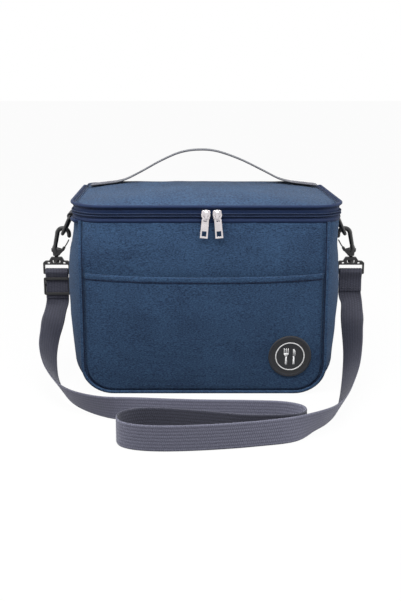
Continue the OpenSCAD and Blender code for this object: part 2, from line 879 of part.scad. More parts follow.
front_panel();
back_panel();
gusset();
front_piping();
back_piping();
front_foam();
back_foam();
gusset_foam();
foil_liner();
pocket_panel();
pocket_hem();
badge();
badge_print();
rim_binding();
zip_tape_lower();
zip_coil_lower();
hinge_strip();
left_ring_tab();
right_ring_tab();
lid_top();
lid_foam();
lid_liner();
lid_piping();
lid_back_band();
zip_tape_upper();
zip_coil_upper();
handle();
handle_stitching();
left_slider();
right_slider();
left_pull();
right_pull();
left_d_ring();
right_d_ring();
left_hook();
right_hook();
left_gate();
right_gate();
left_swivel_frame();
right_swivel_frame();
left_strap_loop();
right_strap_loop();
strap_adjuster();
shoulder_strap();
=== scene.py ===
"""Soft insulated lunch bag with a zipped lid, a webbing handle and a clip-on shoulder strap.

Metres, +X right, +Y back, +Z up.
"""
import math

import bmesh
import bpy
from mathutils import Matrix, Vector, noise


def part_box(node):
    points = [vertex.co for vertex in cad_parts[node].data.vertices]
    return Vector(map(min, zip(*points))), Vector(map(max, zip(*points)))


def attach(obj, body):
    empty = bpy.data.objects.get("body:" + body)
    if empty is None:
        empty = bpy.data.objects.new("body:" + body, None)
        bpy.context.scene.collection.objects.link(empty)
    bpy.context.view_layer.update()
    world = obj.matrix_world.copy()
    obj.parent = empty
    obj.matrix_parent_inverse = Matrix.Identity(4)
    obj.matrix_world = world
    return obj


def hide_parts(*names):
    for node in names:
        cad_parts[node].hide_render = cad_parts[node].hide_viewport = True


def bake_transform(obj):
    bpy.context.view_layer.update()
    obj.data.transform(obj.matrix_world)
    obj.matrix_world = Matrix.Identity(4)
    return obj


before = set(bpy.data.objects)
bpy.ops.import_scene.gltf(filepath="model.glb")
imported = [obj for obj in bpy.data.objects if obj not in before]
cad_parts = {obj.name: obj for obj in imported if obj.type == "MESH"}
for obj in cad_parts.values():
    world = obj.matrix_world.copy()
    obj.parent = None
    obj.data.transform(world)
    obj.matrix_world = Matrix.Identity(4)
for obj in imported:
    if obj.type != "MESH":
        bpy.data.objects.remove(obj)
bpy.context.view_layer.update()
MM = 0.001

# ---- Sizes, all from the frame or the same driving dimensions as the solids ----
panel_low, panel_high = (Vector(c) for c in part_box("front_panel"))
PANEL_HALF_W = panel_high.x
BODY_H = panel_high.z
FRONT_Y = panel_low.y
BACK_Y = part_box("back_panel")[1][1]
CORNER_R = 32 * MM
SIDE_BULGE = 17 * MM
FABRIC_T = 1.5 * MM
FOAM_T = 4 * MM
PANEL_Y = BACK_Y - FABRIC_T
PIPING_R = 1.7 * MM
BAND_H = 15 * MM
ZIP_Z = BODY_H + BAND_H / 2
LID_Z = BODY_H + BAND_H
LID_BACK_Y = BACK_Y - 1 * MM
LID_RISE = 4.5 * MM
LID_CROWN = 8.5 * MM
TAPE_T = 1.2 * MM
TAPE_H = BAND_H / 2 - 0.15 * MM
ZIP_TAIL_Y = BACK_Y - 12 * MM
WEB_W = 25 * MM
WEB_T = 1.6 * MM


# ---- Small mesh helpers ----
def new_object(name, verts, faces, body=None, smooth=True):
    mesh = bpy.data.meshes.new(name)
    mesh.from_pydata([tuple(v) for v in verts], [], faces)
    mesh.validate()
    mesh.polygons.foreach_set("use_smooth", [smooth] * len(mesh.polygons))
    obj = bpy.data.objects.new(name, mesh)
    bpy.context.scene.collection.objects.link(obj)
    fix_normals(obj)
    if body:
        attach(obj, body)
    return obj


def fix_normals(obj):
    bm = bmesh.new()
    bm.from_mesh(obj.data)
    bmesh.ops.recalc_face_normals(bm, faces=bm.faces)
    bm.to_mesh(obj.data)
    bm.free()


def set_strip(obj, coords):
    """Stores each vertex's place along and across a strip, in metres, for the woven materials."""
    layer = obj.data.attributes.new("strip", "FLOAT_VECTOR", "POINT")
    layer.data.foreach_set("vector", [c for p in coords for c in p])


def grid_faces(rows, cols, wrap_rows=False, wrap_cols=False):
    faces = []
    for i in range(rows if wrap_rows else rows - 1):
        for j in range(cols if wrap_cols else cols - 1):
            a, b = i * cols, ((i + 1) % rows) * cols
            k = (j + 1) % cols
            faces.append((a + j, a + k, b + k, b + j))
    return faces


def loft(name, rings, body=None, strips=None):
    """A tube through rings of points, with flat ends that meet its sides in a sharp edge."""
    n, k = len(rings), len(rings[0])
    faces = grid_faces(n, k, wrap_cols=True)
    faces += [tuple(range(k - 1, -1, -1)), tuple((n - 1) * k + j for j in range(k))]
    obj = new_object(name, [p for ring in rings for p in ring], faces, body)
    rims = set()
    for cap in obj.data.polygons[-2:]:
        cap.use_smooth = False
        rims.update(cap.edge_keys)
    for edge in obj.data.edges:
        edge.use_edge_sharp = edge.key in rims
    if strips:
        set_strip(obj, [p for ring in strips for p in ring])
    return obj


def smooth_path(points, steps):
    """Catmull-Rom curve through given points, as the solids use."""
    pts = [Vector(p) for p in points]

    def at(i):
        return pts[max(0, min(len(pts) - 1, i))]

    out = []
    for i in range((len(pts) - 1) * steps + 1):
        k = min(i // steps, len(pts) - 2)
        t = i / steps - k
        a, b, c, d = at(k - 1), at(k), at(k + 1), at(k + 2)
        out.append(0.5 * (2 * b + (c - a) * t + (2 * a - 5 * b + 4 * c - d) * t * t
                          + (3 * b - a - 3 * c + d) * t ** 3))
    return out


def tangents(path, closed=False):
    n = len(path)
    out = []
    for i in range(n):
        a = path[i - 1] if closed or i else path[0]
        b = path[(i + 1) % n] if closed or i < n - 1 else path[-1]
        out.append((b - a).normalized())
    return out


def lengths(path):
    out = [0.0]
    for a, b in zip(path, path[1:]):
        out.append(out[-1] + (b - a).length)
    return out


def tube(name, path, radius, body=None, sides=10, up=(0, 0, 1), closed=False):
    """Round tube along a path; radius is a number or one for each point."""
    rings, strips = [], []
    run = lengths(path)
    for i, (p, t) in enumerate(zip(path, tangents(path, closed))):
        r = radius[i] if isinstance(radius, (list, tuple)) else radius
        side = t.cross(Vector(up))
        if side.length < 1e-4:
            side = t.cross(Vector((1, 0, 0)))
        side.normalize()
        top = side.cross(t)
        angles = [2 * math.pi * j / sides for j in range(sides)]
        rings.append([p + side * r * math.cos(a) + top * r * math.sin(a) for a in angles])
        strips.append([(run[i], r * a, 0) for a in angles])
    if closed:
        faces = grid_faces(len(rings), sides, wrap_rows=True, wrap_cols=True)
        obj = new_object(name, [q for ring in rings for q in ring], faces, body)
        set_strip(obj, [q for ring in strips for q in ring])
        return obj
    return loft(name, rings, body, strips)


def lathe(name, profile, place, sides=32):
    """Turns (radius, height) points round the Z axis of a placing matrix; the ends close on the axis."""
    turns = [2 * math.pi * j / sides for j in range(sides)]
    rings = [[place @ Vector((r * math.cos(a), r * math.sin(a), h)) for a in turns] for r, h in profile]
    return loft(name, rings)


def extrude_outline(name, outline, place, depth, bevel):
    """A plate drawn in X and Y of a placing matrix, centred on its Z, with rounded edges."""
    k = len(outline)
    verts = [place @ Vector((x, y, side * depth / 2)) for side in (-1, 1) for x, y in outline]
    faces = [tuple(range(k - 1, -1, -1)), tuple(range(k, 2 * k))]
    faces += [(j, (j + 1) % k, k + (j + 1) % k, k + j) for j in range(k)]
    obj = new_object(name, verts, faces)
    add_bevel(obj, bevel)
    return obj


def add_bevel(obj, width, segments=3, angle=40):
    mod = obj.modifiers.new("edges", "BEVEL")
    mod.width = width
    mod.segments = segments
    mod.limit_method = "ANGLE"
    mod.angle_limit = math.radians(angle)
    mod.harden_normals = True
    obj.data.polygons.foreach_set("use_smooth", [True] * len(obj.data.polygons))


def add_thickness(obj, thickness):
    mod = obj.modifiers.new("thickness", "SOLIDIFY")
    mod.thickness = thickness
    mod.offset = -1.0
    mod.use_even_offset = True


def join(name, objects, body):
    """Makes one piece of several that share a body."""
    bm = bmesh.new()
    depsgraph = bpy.context.evaluated_depsgraph_get()
    mesh = bpy.data.meshes.new(name)
    for obj in objects:
        part = bpy.data.meshes.new_from_object(obj.evaluated_get(depsgraph))
        bm.from_mesh(part)
        bpy.data.meshes.remove(part)
        bpy.data.objects.remove(obj)
    bm.to_mesh(mesh)
    bm.free()
    out = bpy.data.objects.new(name, mesh)
    bpy.context.scene.collection.objects.link(out)
    mesh.polygons.foreach_set("use_smooth", [True] * len(mesh.polygons))
    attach(out, body)
    return out


def finish_piece(obj, material, slot_name, *nodes):
    """Gives a piece its material and hides the CAD nodes it stands for; its slot name is not used."""
    obj.data.materials.clear()
    obj.data.materials.append(material)
    if nodes:
        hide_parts(*nodes)
    return obj


def puff(point, size, seed):
    """Smooth noise from -1 to 1 whose bumps are about size across."""
    return noise.noise(Vector(point) / size + Vector((seed, seed * 1.7, -seed)))


def folds(share, *waves):
    """The sum of several bumps, each given as (height, point, size, seed), times a share."""
    return sum(height * share * puff(point, size, seed) for height, point, size, seed in waves)


# ---- Materials: node trees in object space or along a strip, so no UVs are needed ----
def srgb(r, g, b):
    """A colour as linear RGBA, from 0 to 255 as it should render."""
    return tuple(c / 3294.6 if c < 11 else ((c / 255 + 0.055) / 1.055) ** 2.4 for c in (r, g, b)) + (1.0,)


class Shader:
    """A Principled material with short calls that add and join its nodes."""

    def __init__(self, name, rough, metallic=0.0, specular=0.5):
        self.material = bpy.data.materials.new(name)
        self.material.use_nodes = True
        self.tree = self.material.node_tree
        self.bsdf = self.tree.nodes["Principled BSDF"]
        self.set("Roughness", rough)
        self.set("Metallic", metallic)
        self.set("Specular IOR Level", specular)
        self.normal = None

    def put(self, socket, value):
        if isinstance(value, bpy.types.NodeSocket):
            self.tree.links.new(value, socket)
        else:
            socket.default_value = value

    def set(self, name, value):
        self.put(self.bsdf.inputs[name], value)

    def node(self, kind, *values, **settings):
        made = self.tree.nodes.new("ShaderNode" + kind)
        for key, value in settings.items():
            setattr(made, key, value)
        for socket, value in zip(made.inputs, values):
            if value is not None:
                self.put(socket, value)
        return made

    def place(self):
        return self.node("TexCoord").outputs["Object"]

    def strip(self):
        """Along, across and face of a strip, as three values."""
        found = self.node("Attribute", attribute_name="strip", attribute_type="GEOMETRY")
        return self.node("SeparateXYZ", found.outputs["Vector"]).outputs

    def math(self, operation, a, b=0.0):
        return self.node("Math", a, b, operation=operation).outputs[0]

    def stretch(self, vector, x, y, z):
        return self.node("VectorMath", vector, (x, y, z), operation="MULTIPLY").outputs[0]

    def noise(self, vector, size, detail=2.0, rough=0.5):
        """Noise from 0 to 1 with bumps of about size metres."""
        return self.node("TexNoise", vector, None, 1 / size, detail, rough).outputs[0]

    def remap(self, value, low, high, to_low=0.0, to_high=1.0):
        return self.node("MapRange", value, low, high, to_low, to_high).outputs[0]

    def blend(self, factor, a, b):
        mix = self.node("Mix", data_type="RGBA")
        self.put(mix.inputs[0], factor)
        self.put(mix.inputs[6], a)
        self.put(mix.inputs[7], b)
        return mix.outputs[2]

    def wave(self, value, pitch):
        """Sine along a value in metres, from -1 to 1."""
        return self.math("SINE", self.math("MULTIPLY_ADD", value, 2 * math.pi / pitch))

    def bump(self, height, distance, strength=1.0):
        made = self.node("Bump", strength, distance, None, height)
        if self.normal:
            self.put(made.inputs["Normal"], self.normal)
        self.normal = made.outputs[0]
        self.put(self.bsdf.inputs["Normal"], self.normal)

    def weave(self, pitch):
        """Threads over and under along all three axes."""
        axes = self.node("SeparateXYZ", self.place()).outputs
        total = self.math("ADD", self.wave(axes[0], pitch), self.wave(axes[2], pitch))
        return self.math("ADD", total, self.wave(axes[1], pitch))


def heather_fabric(name, dark, light):
    """Melange polyester: mottled yarn colours, short slubs and a fine plain weave."""
    s = Shader(name, rough=0.85, specular=0.25)
    place = s.place()
    mottle = s.noise(place, 0.8 * MM, 3.0, 0.7)
    slub = s.noise(s.stretch(place, 0.35, 0.35, 1.3), 0.75 * MM, 2.0)
    patch = s.noise(place, 35 * MM, 2.0)
    amount = s.math("ADD", s.math("MULTIPLY", mottle, 0.45), s.math("MULTIPLY", slub, 0.45))
    amount = s.math("ADD", amount, s.math("MULTIPLY", patch, 0.1))
    s.set("Base Color", s.blend(s.remap(amount, 0.4, 0.6), dark, light))
    s.set("Roughness", s.remap(mottle, 0.3, 0.7, 0.78, 0.92))
    s.set("Sheen Weight", 0.06)
    s.set("Sheen Roughness", 0.5)
    s.bump(s.weave(0.9 * MM), 0.12 * MM, 0.5)
    s.bump(s.noise(place, 1.2 * MM, 2.0), 0.12 * MM, 0.4)
    return s.material


def ribbed_tape(name, dark, light, pitch, rough=0.6):
    """Woven tape with fine ribs across its length; its colour is darker in the valleys between ribs, painted
    shade.
    """
    s = Shader(name, rough=rough, specular=0.2)
    along = s.strip()[0]
    rib = s.wave(along, pitch)
    grain = s.noise(s.place(), 1.5 * MM, 3.0)
    # The rib term makes the colour darker in the valleys of the rib bump: painted shade. The grain is the
    # yarn's own tone.
    amount = s.math("ADD", s.remap(rib, -1.0, 1.0, 0.1, 0.5), s.math("MULTIPLY", grain, 0.5))
    s.set("Base Color", s.blend(amount, dark, light))
    s.set("Sheen Weight", 0.03)
    s.bump(rib, 0.15 * MM, 0.6)
    s.bump(grain, 0.15 * MM, 0.4)
    return s.material


def webbing(name, dark, light, back_dark, back_light):
    """Ribbed polyester webbing with a chain of small stitches down each rib; its colour is darker in the
    grooves as painted shade, and its two faces take a lit and a shaded copy of one colour, painted light and
    shade.
    """
    s = Shader(name, rough=0.7, specular=0.35)
    along, across, face = s.strip()
    rib = WEB_W / 8
    column = s.math("FLOOR", s.math("DIVIDE", across, rib))
    shifted = s.math("ADD", along, s.math("MULTIPLY", column, 0.9 * MM))
    chain = s.wave(shifted, 1.9 * MM)
    groove_shade = s.math("ABSOLUTE", s.math("SINE", s.math("MULTIPLY", across, math.pi / rib)))
    grain = s.noise(s.place(), 1.4 * MM, 3.0, 0.6)
    # The groove term darkens the colour between ribs and the chain term between stitches, both painted shade;
    # the grain is the yarn's own tone.
    amount = s.math("ADD", s.math("MULTIPLY", groove_shade, 0.35), s.math("MULTIPLY", grain, 0.55))
    amount = s.math("ADD", amount, s.remap(chain, -1.0, 1.0, 0.0, 0.2))
    # Each face gets its own colour range, a lit copy and a shaded copy: painted light and shade.
    front = s.blend(amount, dark, light)
    back = s.blend(amount, back_dark, back_light)
    s.set("Base Color", s.blend(face, front, back))
    s.set("Sheen Weight", 0.2)
    s.bump(chain, 0.12 * MM, 0.5)
    s.bump(grain, 0.2 * MM, 0.5)
    return s.material


def moulded(name, colour, rough, grain=0.5 * MM, depth=0.04 * MM, metallic=0.0):
    """Moulded or cast surface: fine grain, faint blotches of gloss and slight handling wear."""
    s = Shader(name, rough=rough, metallic=metallic)
    place = s.place()
    fine = s.noise(place, grain, 3.0)
    blotch = s.noise(place, 9 * MM, 3.0)
    worn = tuple(min(1.0, c * 1.35 + 0.004) for c in colour[:3]) + (1.0,)
    s.set("Base Color", s.blend(s.remap(blotch, 0.45, 0.75, 0.0, 0.5), colour, worn))
    s.set("Roughness", s.remap(blotch, 0.3, 0.7, rough - 0.06, rough + 0.08))
    s.bump(fine, depth, 0.4)
    return s.material


def crinkled_foil(name):
    """Aluminised film bonded to foam: bright, with a fine embossed net and soft creases."""
    s = Shader(name, rough=0.3, metallic=0.85)
    place = s.place()
    crease = s.noise(place, 14 * MM, 4.0, 0.6)
    s.set("Base Color", s.blend(s.remap(crease, 0.35, 0.65), srgb(128, 132, 139), srgb(172, 176, 182)))
    s.set("Roughness", s.remap(crease, 0.3, 0.7, 0.24, 0.42))
    s.bump(s.weave(4 * MM), 0.3 * MM, 0.35)
    s.bump(crease, 2 * MM, 0.5)
    return s.material


def spongy(name):
    s = Shader(name, rough=0.95, specular=0.2)
    cell = s.noise(s.place(), 1.2 * MM, 4.0, 0.7)
    s.set("Base Color", s.blend(cell, srgb(205, 205, 200), srgb(236, 236, 232)))
    s.bump(cell, 0.5 * MM, 0.6)
    return s.material


shell_blue = heather_fabric("heather_blue", srgb(20, 37, 64), srgb(60, 90, 124))
# Darker copy of the shell fabric for the thin tubes laid in seam and hem creases: painted shade in the
# creases.
crease_shade_blue = heather_fabric("crease_shade_blue", srgb(12, 22, 46), srgb(34, 52, 84))
navy_tape = ribbed_tape("navy_tape", srgb(9, 21, 46), srgb(28, 49, 88), 1.1 * MM)
navy_coil = ribbed_tape("navy_coil", srgb(11, 20, 42), srgb(38, 56, 90), 0.6 * MM, rough=0.45)
thread_navy = ribbed_tape("thread_navy", srgb(12, 20, 44), srgb(34, 50, 82), 0.5 * MM)
thread_grey = ribbed_tape("thread_grey", srgb(70, 70, 84), srgb(120, 120, 134), 0.5 * MM)
# Strap webbing: the second face's colour is a darker copy of the first, painted shade on the parts that show
# it.
strap_grey = webbing("strap_webbing", srgb(74, 74, 92), srgb(140, 141, 160), srgb(32, 33, 44),
                     srgb(74, 75, 90))
# Handle webbing: the dark first face is the underside in painted shade; the lighter second face is the top
# with a painted sheen of the lamps above.
handle_web = webbing("handle_webbing", srgb(14, 14, 18), srgb(40, 41, 50), srgb(44, 45, 52),
                     srgb(104, 106, 116))
black_web = webbing("black_webbing", srgb(14, 15, 20), srgb(44, 45, 54), srgb(14, 15, 20), srgb(44, 45, 54))
black_plastic = moulded("black_plastic", srgb(13, 13, 16), 0.38)
zip_metal = moulded("zip_metal", srgb(214, 208, 210), 0.2, depth=0.01 * MM, metallic=1.0)
badge_rubber = moulded("badge_rubber", srgb(24, 25, 29), 0.55, 0.8 * MM, 0.06 * MM)
badge_white = moulded("badge_white", srgb(235, 235, 235), 0.5)
foil = crinkled_foil("foil")
foam = spongy("foam")


# ---- Camera: no shift, at the photograph's distance and pitch ----
CAMERA_AT = Vector((-3.5 * MM, FRONT_Y - 1.0, 354 * MM))
CAMERA_PITCH = math.radians(14.2)
FRAME_H = 601
FOCAL_PX = 995
camera_data = bpy.data.cameras.new("camera")
camera_data.sensor_fit = "VERTICAL"
camera_data.sensor_height = 36
camera_data.lens = 36 * FOCAL_PX / FRAME_H
camera_data.clip_start = 0.02
camera = bpy.data.objects.new("camera", camera_data)
camera.location = CAMERA_AT
camera.rotation_euler = (math.pi / 2 - CAMERA_PITCH, 0, 0)
bpy.context.scene.collection.objects.link(camera)
bpy.context.scene.camera = camera


# ---- Webbing swept along a path ----
RIBS = 8
RIB_RELIEF = 0.16 * MM


def web_section(thickness):
    """(across, out, face) points round a ribbed band's section: face 0, then face 1, which the webbing
    materials colour as a lit and a shaded copy, painted light and shade.
    """
    top = []
    steps = RIBS * 4
    for j in range(steps + 1):
        v = WEB_W * (j / steps - 0.5)
        ridge = abs(math.sin(math.pi * j / 4))
        edge = min(1.0, (WEB_W / 2 - abs(v)) / (0.8 * MM))
        out = (thickness / 2 - RIB_RELIEF + RIB_RELIEF * ridge) * (0.45 + 0.55 * math.sqrt(max(0.0, edge)))
        top.append((v, out))
    return [(v, -out, 0.0) for v, out in top] + [(v, out, 1.0) for v, out in reversed(top)]


def sweep_webbing(name, path, widths, start, stop, body=None, thickness=WEB_T):
    """A band along path[start:stop + 1], its width along the given directions."""
    section = web_section(thickness)
    turn = tangents(path)
    run = lengths(path)
    rings, strips = [], []
    for i in range(start, stop + 1):
        t = turn[i]
        w = Vector(widths[i])
        w = (w - t * w.dot(t)).normalized()
        n = t.cross(w)
        rings.append([path[i] + w * v + n * out for v, out, _ in section])
        strips.append([(run[i], v, face) for v, _, face in section])
    return loft(name, rings, body, strips)


# ---- Shoulder strap: the route of its solid, swept as a middle piece and a piece at each end ----
STRAP_ROUTE_MM = [
    (-163, 0, 85.2), (-163.3, -0.3, 80), (-164.9, -2.9, 72.6), (-167.1, -11.6, 62.4),
    (-168.1, -33, 51.8), (-166.5, -61.8, 38.6), (-157.1, -95.6, 24.8), (-136.8, -129.6, 15.1),
    (-102.7, -155.4, 12.7), (-60, -166, 13), (-10, -171, 13), (40, -173, 13), (74, -176, 13),
    (92, -185, 13), (96, -198, 13), (87, -209, 13), (64, -212, 13), (36, -211, 13), (0, -202, 13),
    (-40, -194, 13), (-64, -195, 13), (-78, -204, 13), (-81, -217, 13), (-75, -230, 13),
    (-58, -238, 13), (-30, -240, 13), (10, -236, 13), (50, -228, 13), (84, -217, 13),
    (107.6, -197, 13.4), (123.8, -173.9, 11.6), (136.7, -146.8, 12.1), (146.1, -115.8, 16),
    (154.9, -83, 26.7), (160.8, -52, 40.7), (163.4, -27.6, 54.9), (164.9, -11.4, 67.5),
    (165, -3.7, 79.4), (163.2, -0.4, 88), (163, 0, 93.2)
]
STRAP_WIDTHS = [
    (1, 0, 0), (1, 0, 0), (1, -0.22, -0.1), (0.88, -0.34, -0.45), (0.68, -0.22, -0.73),
    (0.67, -0.06, -0.74), (0.58, 0.11, -0.81), (0.46, 0.26, -0.89), (0.25, 0.23, -0.97)
] + [(0, 0, -1)] * 20 + [
    (-0.22, 0.3, -0.97), (-0.35, 0.35, -0.94), (-0.41, 0.32, -0.91), (-0.55, 0.19, -0.83),
    (-0.7, 0.09, -0.72), (-0.74, -0.02, -0.67), (-0.8, -0.14, -0.6), (-0.94, -0.31, -0.34),
    (-1, -0.28, -0.07), (-1, 0, 0), (-1, 0, 0)
]
STRAP_STEPS = 8
LEFT_SPLIT = 8
RIGHT_SPLIT = 30
strap_path = smooth_path([Vector(p) * MM for p in STRAP_ROUTE_MM], STRAP_STEPS)
strap_widths = smooth_path(STRAP_WIDTHS, STRAP_STEPS)


def strap_piece(name, first, last):
    a, b = first * STRAP_STEPS, last * STRAP_STEPS
    piece = sweep_webbing(name, strap_path, strap_widths, a, b)
    finish_piece(piece, strap_grey, "strap_webbing", "shoulder_strap")
    part = strap_path[a:b + 1]
    return piece, part, lengths(part)[-1]


strap_middle, middle_path, middle_len = strap_piece("strap_middle", LEFT_SPLIT, RIGHT_SPLIT)
strap_left, left_path, left_len = strap_piece("strap_left_end", 0, LEFT_SPLIT)
strap_right, right_path, right_len = strap_piece("strap_right_end", RIGHT_SPLIT, len(STRAP_ROUTE_MM) - 1)
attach(strap_middle, "bag")
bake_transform(strap_left)
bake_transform(strap_right)


# ---- Shape of the bag: a U-shaped seam line, a bulged wall and the rim that carries the zip ----
CORNER_X = PANEL_HALF_W - CORNER_R
RIM_BLEND_Z = 138 * MM
SEAM_SPREAD = 2.2 * MM
# Half width, front corner radius and how far the back end is drawn in, for the left and the right of the zip.
ZIP_SIDES = {-1: (136.5 * MM, 36 * MM, 3 * MM), 1: (141 * MM, 29 * MM, 11 * MM)}


def ease(t):
    t = max(0.0, min(1.0, t))
    return t * t * (3 - 2 * t)


def rim_share(z):
    return ease((z - RIM_BLEND_Z) / (BODY_H - RIM_BLEND_Z))


def wall_bulge(z):
    return SIDE_BULGE * (0.42 + 0.66 * math.sin(math.pi * (z + 12 * MM) / (240 * MM)))


def zip_front_y(x):
    """Y of the zip's line where it runs across the front, at a given x."""
    half, r, _ = ZIP_SIDES[1 if x > 0 else -1]
    over = max(0.0, abs(x) - (half - r))
    return FRONT_Y + r - math.sqrt(max(0.0, r * r - over * over))


def zip_side_x(side, y):
    """Distance of the zip's line from the middle at a given y, on the left or right."""
    half, r, draw = ZIP_SIDES[side]
    over = max(0.0, FRONT_Y + r - y)
    back = max(0.0, (y - FRONT_Y - r) / (ZIP_TAIL_Y - FRONT_Y - r))
    return half - r + math.sqrt(max(0.0, r * r - over * over)) - draw * back


def rim_x(side, y):
    """Half width of the rim at a given y: it follows the zip and tucks in at the back corners."""
    tuck = (zip_side_x(side, PANEL_Y) - PANEL_HALF_W) * (max(0.0, y - 58 * MM) / (PANEL_Y - 58 * MM)) ** 3
    return zip_side_x(side, y) - tuck


def seam_stations(wall_steps, arc_steps, base_steps):
    """(x, z, outward angle, bulge) down the left side, along the base and up the right side."""
    left = []
    for i in range(wall_steps + 1):
        z = BODY_H - (BODY_H - CORNER_R) * i / wall_steps
        left.append((-PANEL_HALF_W, z, math.pi, wall_bulge(z)))
    for i in range(1, arc_steps + 1):
        turn = math.pi / 2 * i / arc_steps
        a = math.pi + turn
        left.append((-CORNER_X + CORNER_R * math.cos(a), CORNER_R + CORNER_R * math.sin(a), a,
                     wall_bulge(CORNER_R) * math.cos(turn) ** 2))
    base = [(-CORNER_X + 2 * CORNER_X * i / base_steps, 0.0, 1.5 * math.pi, 0.0)
            for i in range(1, base_steps)]
    right = [(-x, z, math.pi - a, b) for x, z, a, b in reversed(left)]
    return left + base + right


def wall_point(station, y, inset):
    """A point of the side wall at depth y, inset inward from the outer fabric."""
    x, z, a, bulge = station
    r = bulge * (1 - (abs(y) / PANEL_Y) ** 4) - inset
    px, pz = x + r * math.cos(a), z + r * math.sin(a)
    share = rim_share(z)
    if share > 0:
        side = 1 if x > 0 else -1
        seam_y, calm_y = zip_front_y(side * PANEL_HALF_W), -50 * MM
        near = y if y > calm_y else calm_y + (y - calm_y) * (seam_y - calm_y) / (-PANEL_Y - calm_y)
        px += share * (side * (rim_x(side, near) - inset) - px)
        y += share * (near - y)
    return Vector((px, y, pz))


def seam_point(station, lift):
    """A point of the front seam, lifted inward; near the rim it follows the zip's corner back."""
    x, z, a, bulge = station
    lift -= SEAM_SPREAD * min(1.0, bulge / (11 * MM))
    y = FRONT_Y + rim_share(z) * (zip_front_y(x) - FRONT_Y)
    return Vector((x - lift * math.cos(a), y, z - lift * math.sin(a)))


def panel_half_at(z, inset=0.0):
    r = CORNER_R - inset
    low = max(0.0, CORNER_R - z)
    return CORNER_X + math.sqrt(max(0.0, r * r - low * low))


def seam_pucker(distance, along, depth, seed):
    """Small gathers that fade away from a sewn seam."""
    fade = math.exp(-distance / (9 * MM))
    return depth * fade * noise.noise(Vector((along / (11 * MM), seed, 0)))


# ---- Outer fabric ----
PANEL_ROWS, PANEL_COLS = 64, 90


def panel_sheet(name, y_at, thickness_side, low_inset=0.0, top=BODY_H, rows=PANEL_ROWS, cols=PANEL_COLS):
    """A sheet that fills the panel's outline; y_at gives its surface."""
    verts = []
    for i in range(rows + 1):
        z = low_inset + (top - low_inset) * (i / rows) ** (0.8 if low_inset else 0.9)
        half = panel_half_at(z, low_inset)
        for j in range(cols + 1):
            x = half * (2 * j / cols - 1)
            verts.append((x, y_at(x, z), z))
    obj = new_object(name, verts, grid_faces(rows + 1, cols + 1), "bag")
    facing = sum((p.normal.y for p in obj.data.polygons))
    if facing * thickness_side < 0:
        obj.data.flip_normals()
    return obj


def edge_distance(x, z):
    """About how far a point of the panel is from the nearest seam."""
    return max(0.0, min(panel_half_at(z) - abs(x), z, BODY_H - z))


def front_surface(x, z):
    share = rim_share(z)
    base = FRONT_Y + share * (zip_front_y(x) - FRONT_Y)
    near = edge_distance(x, z)
    full = ease(near / (30 * MM))
    puffed = (0.6 + 1.6 * ease((z - 100 * MM) / (40 * MM))) * MM
    ripple = folds(full, (0.9 * MM, (x, 0, z * 1.6), 55 * MM, 3), (0.4 * MM, (x, 0, z), 18 * MM, 5))
    return base - puffed * full - ripple - seam_pucker(BODY_H - z, x, 0.7 * MM, 2) * share


def back_surface(x, z):
    near = edge_distance(x, z)
    full = ease(near / (30 * MM))
    ripple = folds(full, (1.0 * MM, (x, 9, z), 50 * MM, 7), (0.4 * MM, (x, 9, z), 16 * MM, 8))
    return BACK_Y + 2.6 * MM * full + ripple


front_panel = panel_sheet("front_panel_fabric", front_surface, -1)
add_thickness(front_panel, FABRIC_T)
finish_piece(front_panel, shell_blue, "shell_fabric", "front_panel")
back_panel = panel_sheet("back_panel_fabric", back_surface, 1)
add_thickness(back_panel, FABRIC_T)
finish_piece(back_panel, shell_blue, "shell_fabric", "back_panel")

wall_line = seam_stations(46, 16, 44)
WALL_COLS = 34


def wall_sheet(name, stations, reach, inset, wrinkle, outward=True):
    verts = []
    for s in stations:
        for j in range(WALL_COLS + 1):
            y = reach * (2 * j / WALL_COLS - 1)
            p = wall_point(s, y, inset)
            lift = wrinkle(s, y) if wrinkle else 0.0
            verts.append(p + Vector((math.cos(s[2]), 0, math.sin(s[2]))) * lift)
    obj = new_object(name, verts, grid_faces(len(stations), WALL_COLS + 1), "bag")
    # The first face is on the left wall, so its normal says which way the sheet looks.
    if (obj.data.polygons[0].normal.x < 0) != outward:
        obj.data.flip_normals()
    return obj


def wall_wrinkle(s, y):
    x, z, _, bulge = s
    free = 1 - (abs(y) / PANEL_Y) ** 2
    side = 1 if x > 0 else -1
    on_wall = ease(bulge / (8 * MM))
    soft = folds(free, (1.3 * MM, (side, y, z * 1.5), 46 * MM, 11), (0.5 * MM, (side, y, z), 17 * MM, 12))
    pulled = seam_pucker(PANEL_Y - abs(y), z, 0.8 * MM, 4 * side)
    return on_wall * (soft + pulled) * (1 - 0.7 * rim_share(z))


gusset = wall_sheet("gusset_fabric", wall_line, PANEL_Y, 0.0, wall_wrinkle)
add_thickness(gusset, FABRIC_T)
finish_piece(gusset, shell_blue, "shell_fabric", "gusset")


# ---- Piping, seams and stitching ----
def seam_path(stations, y_shift, lift, front=True):
    if front:
        return [seam_point(s, lift) + Vector((0, y_shift, 0)) for s in stations]
    return [Vector((seam_point(s, lift).x, BACK_Y + y_shift, seam_point(s, lift).z)) for s in stations]


piping_line = seam_stations(40, 18, 40)
for side_name, front, sign in (("front", True, -1), ("back", False, 1)):
    cord = tube(side_name + "_piping_cord", seam_path(piping_line, sign * PIPING_R, PIPING_R, front),
                PIPING_R,
                "bag", sides=14, up=(0, 1, 0))
    finish_piece(cord, shell_blue, "shell_fabric", side_name + "_piping")
    # A dark tube in the crevice behind the piping: painted shade where the seam folds in.
    crease = tube(side_name + "_seam",
                  seam_path(piping_line, sign * 0.3 * MM, 2 * PIPING_R + 0.4 * MM, front),
                  0.75 * MM, "bag", sides=8, up=(0, 1, 0))
    finish_piece(crease, crease_shade_blue, "navy_binding")


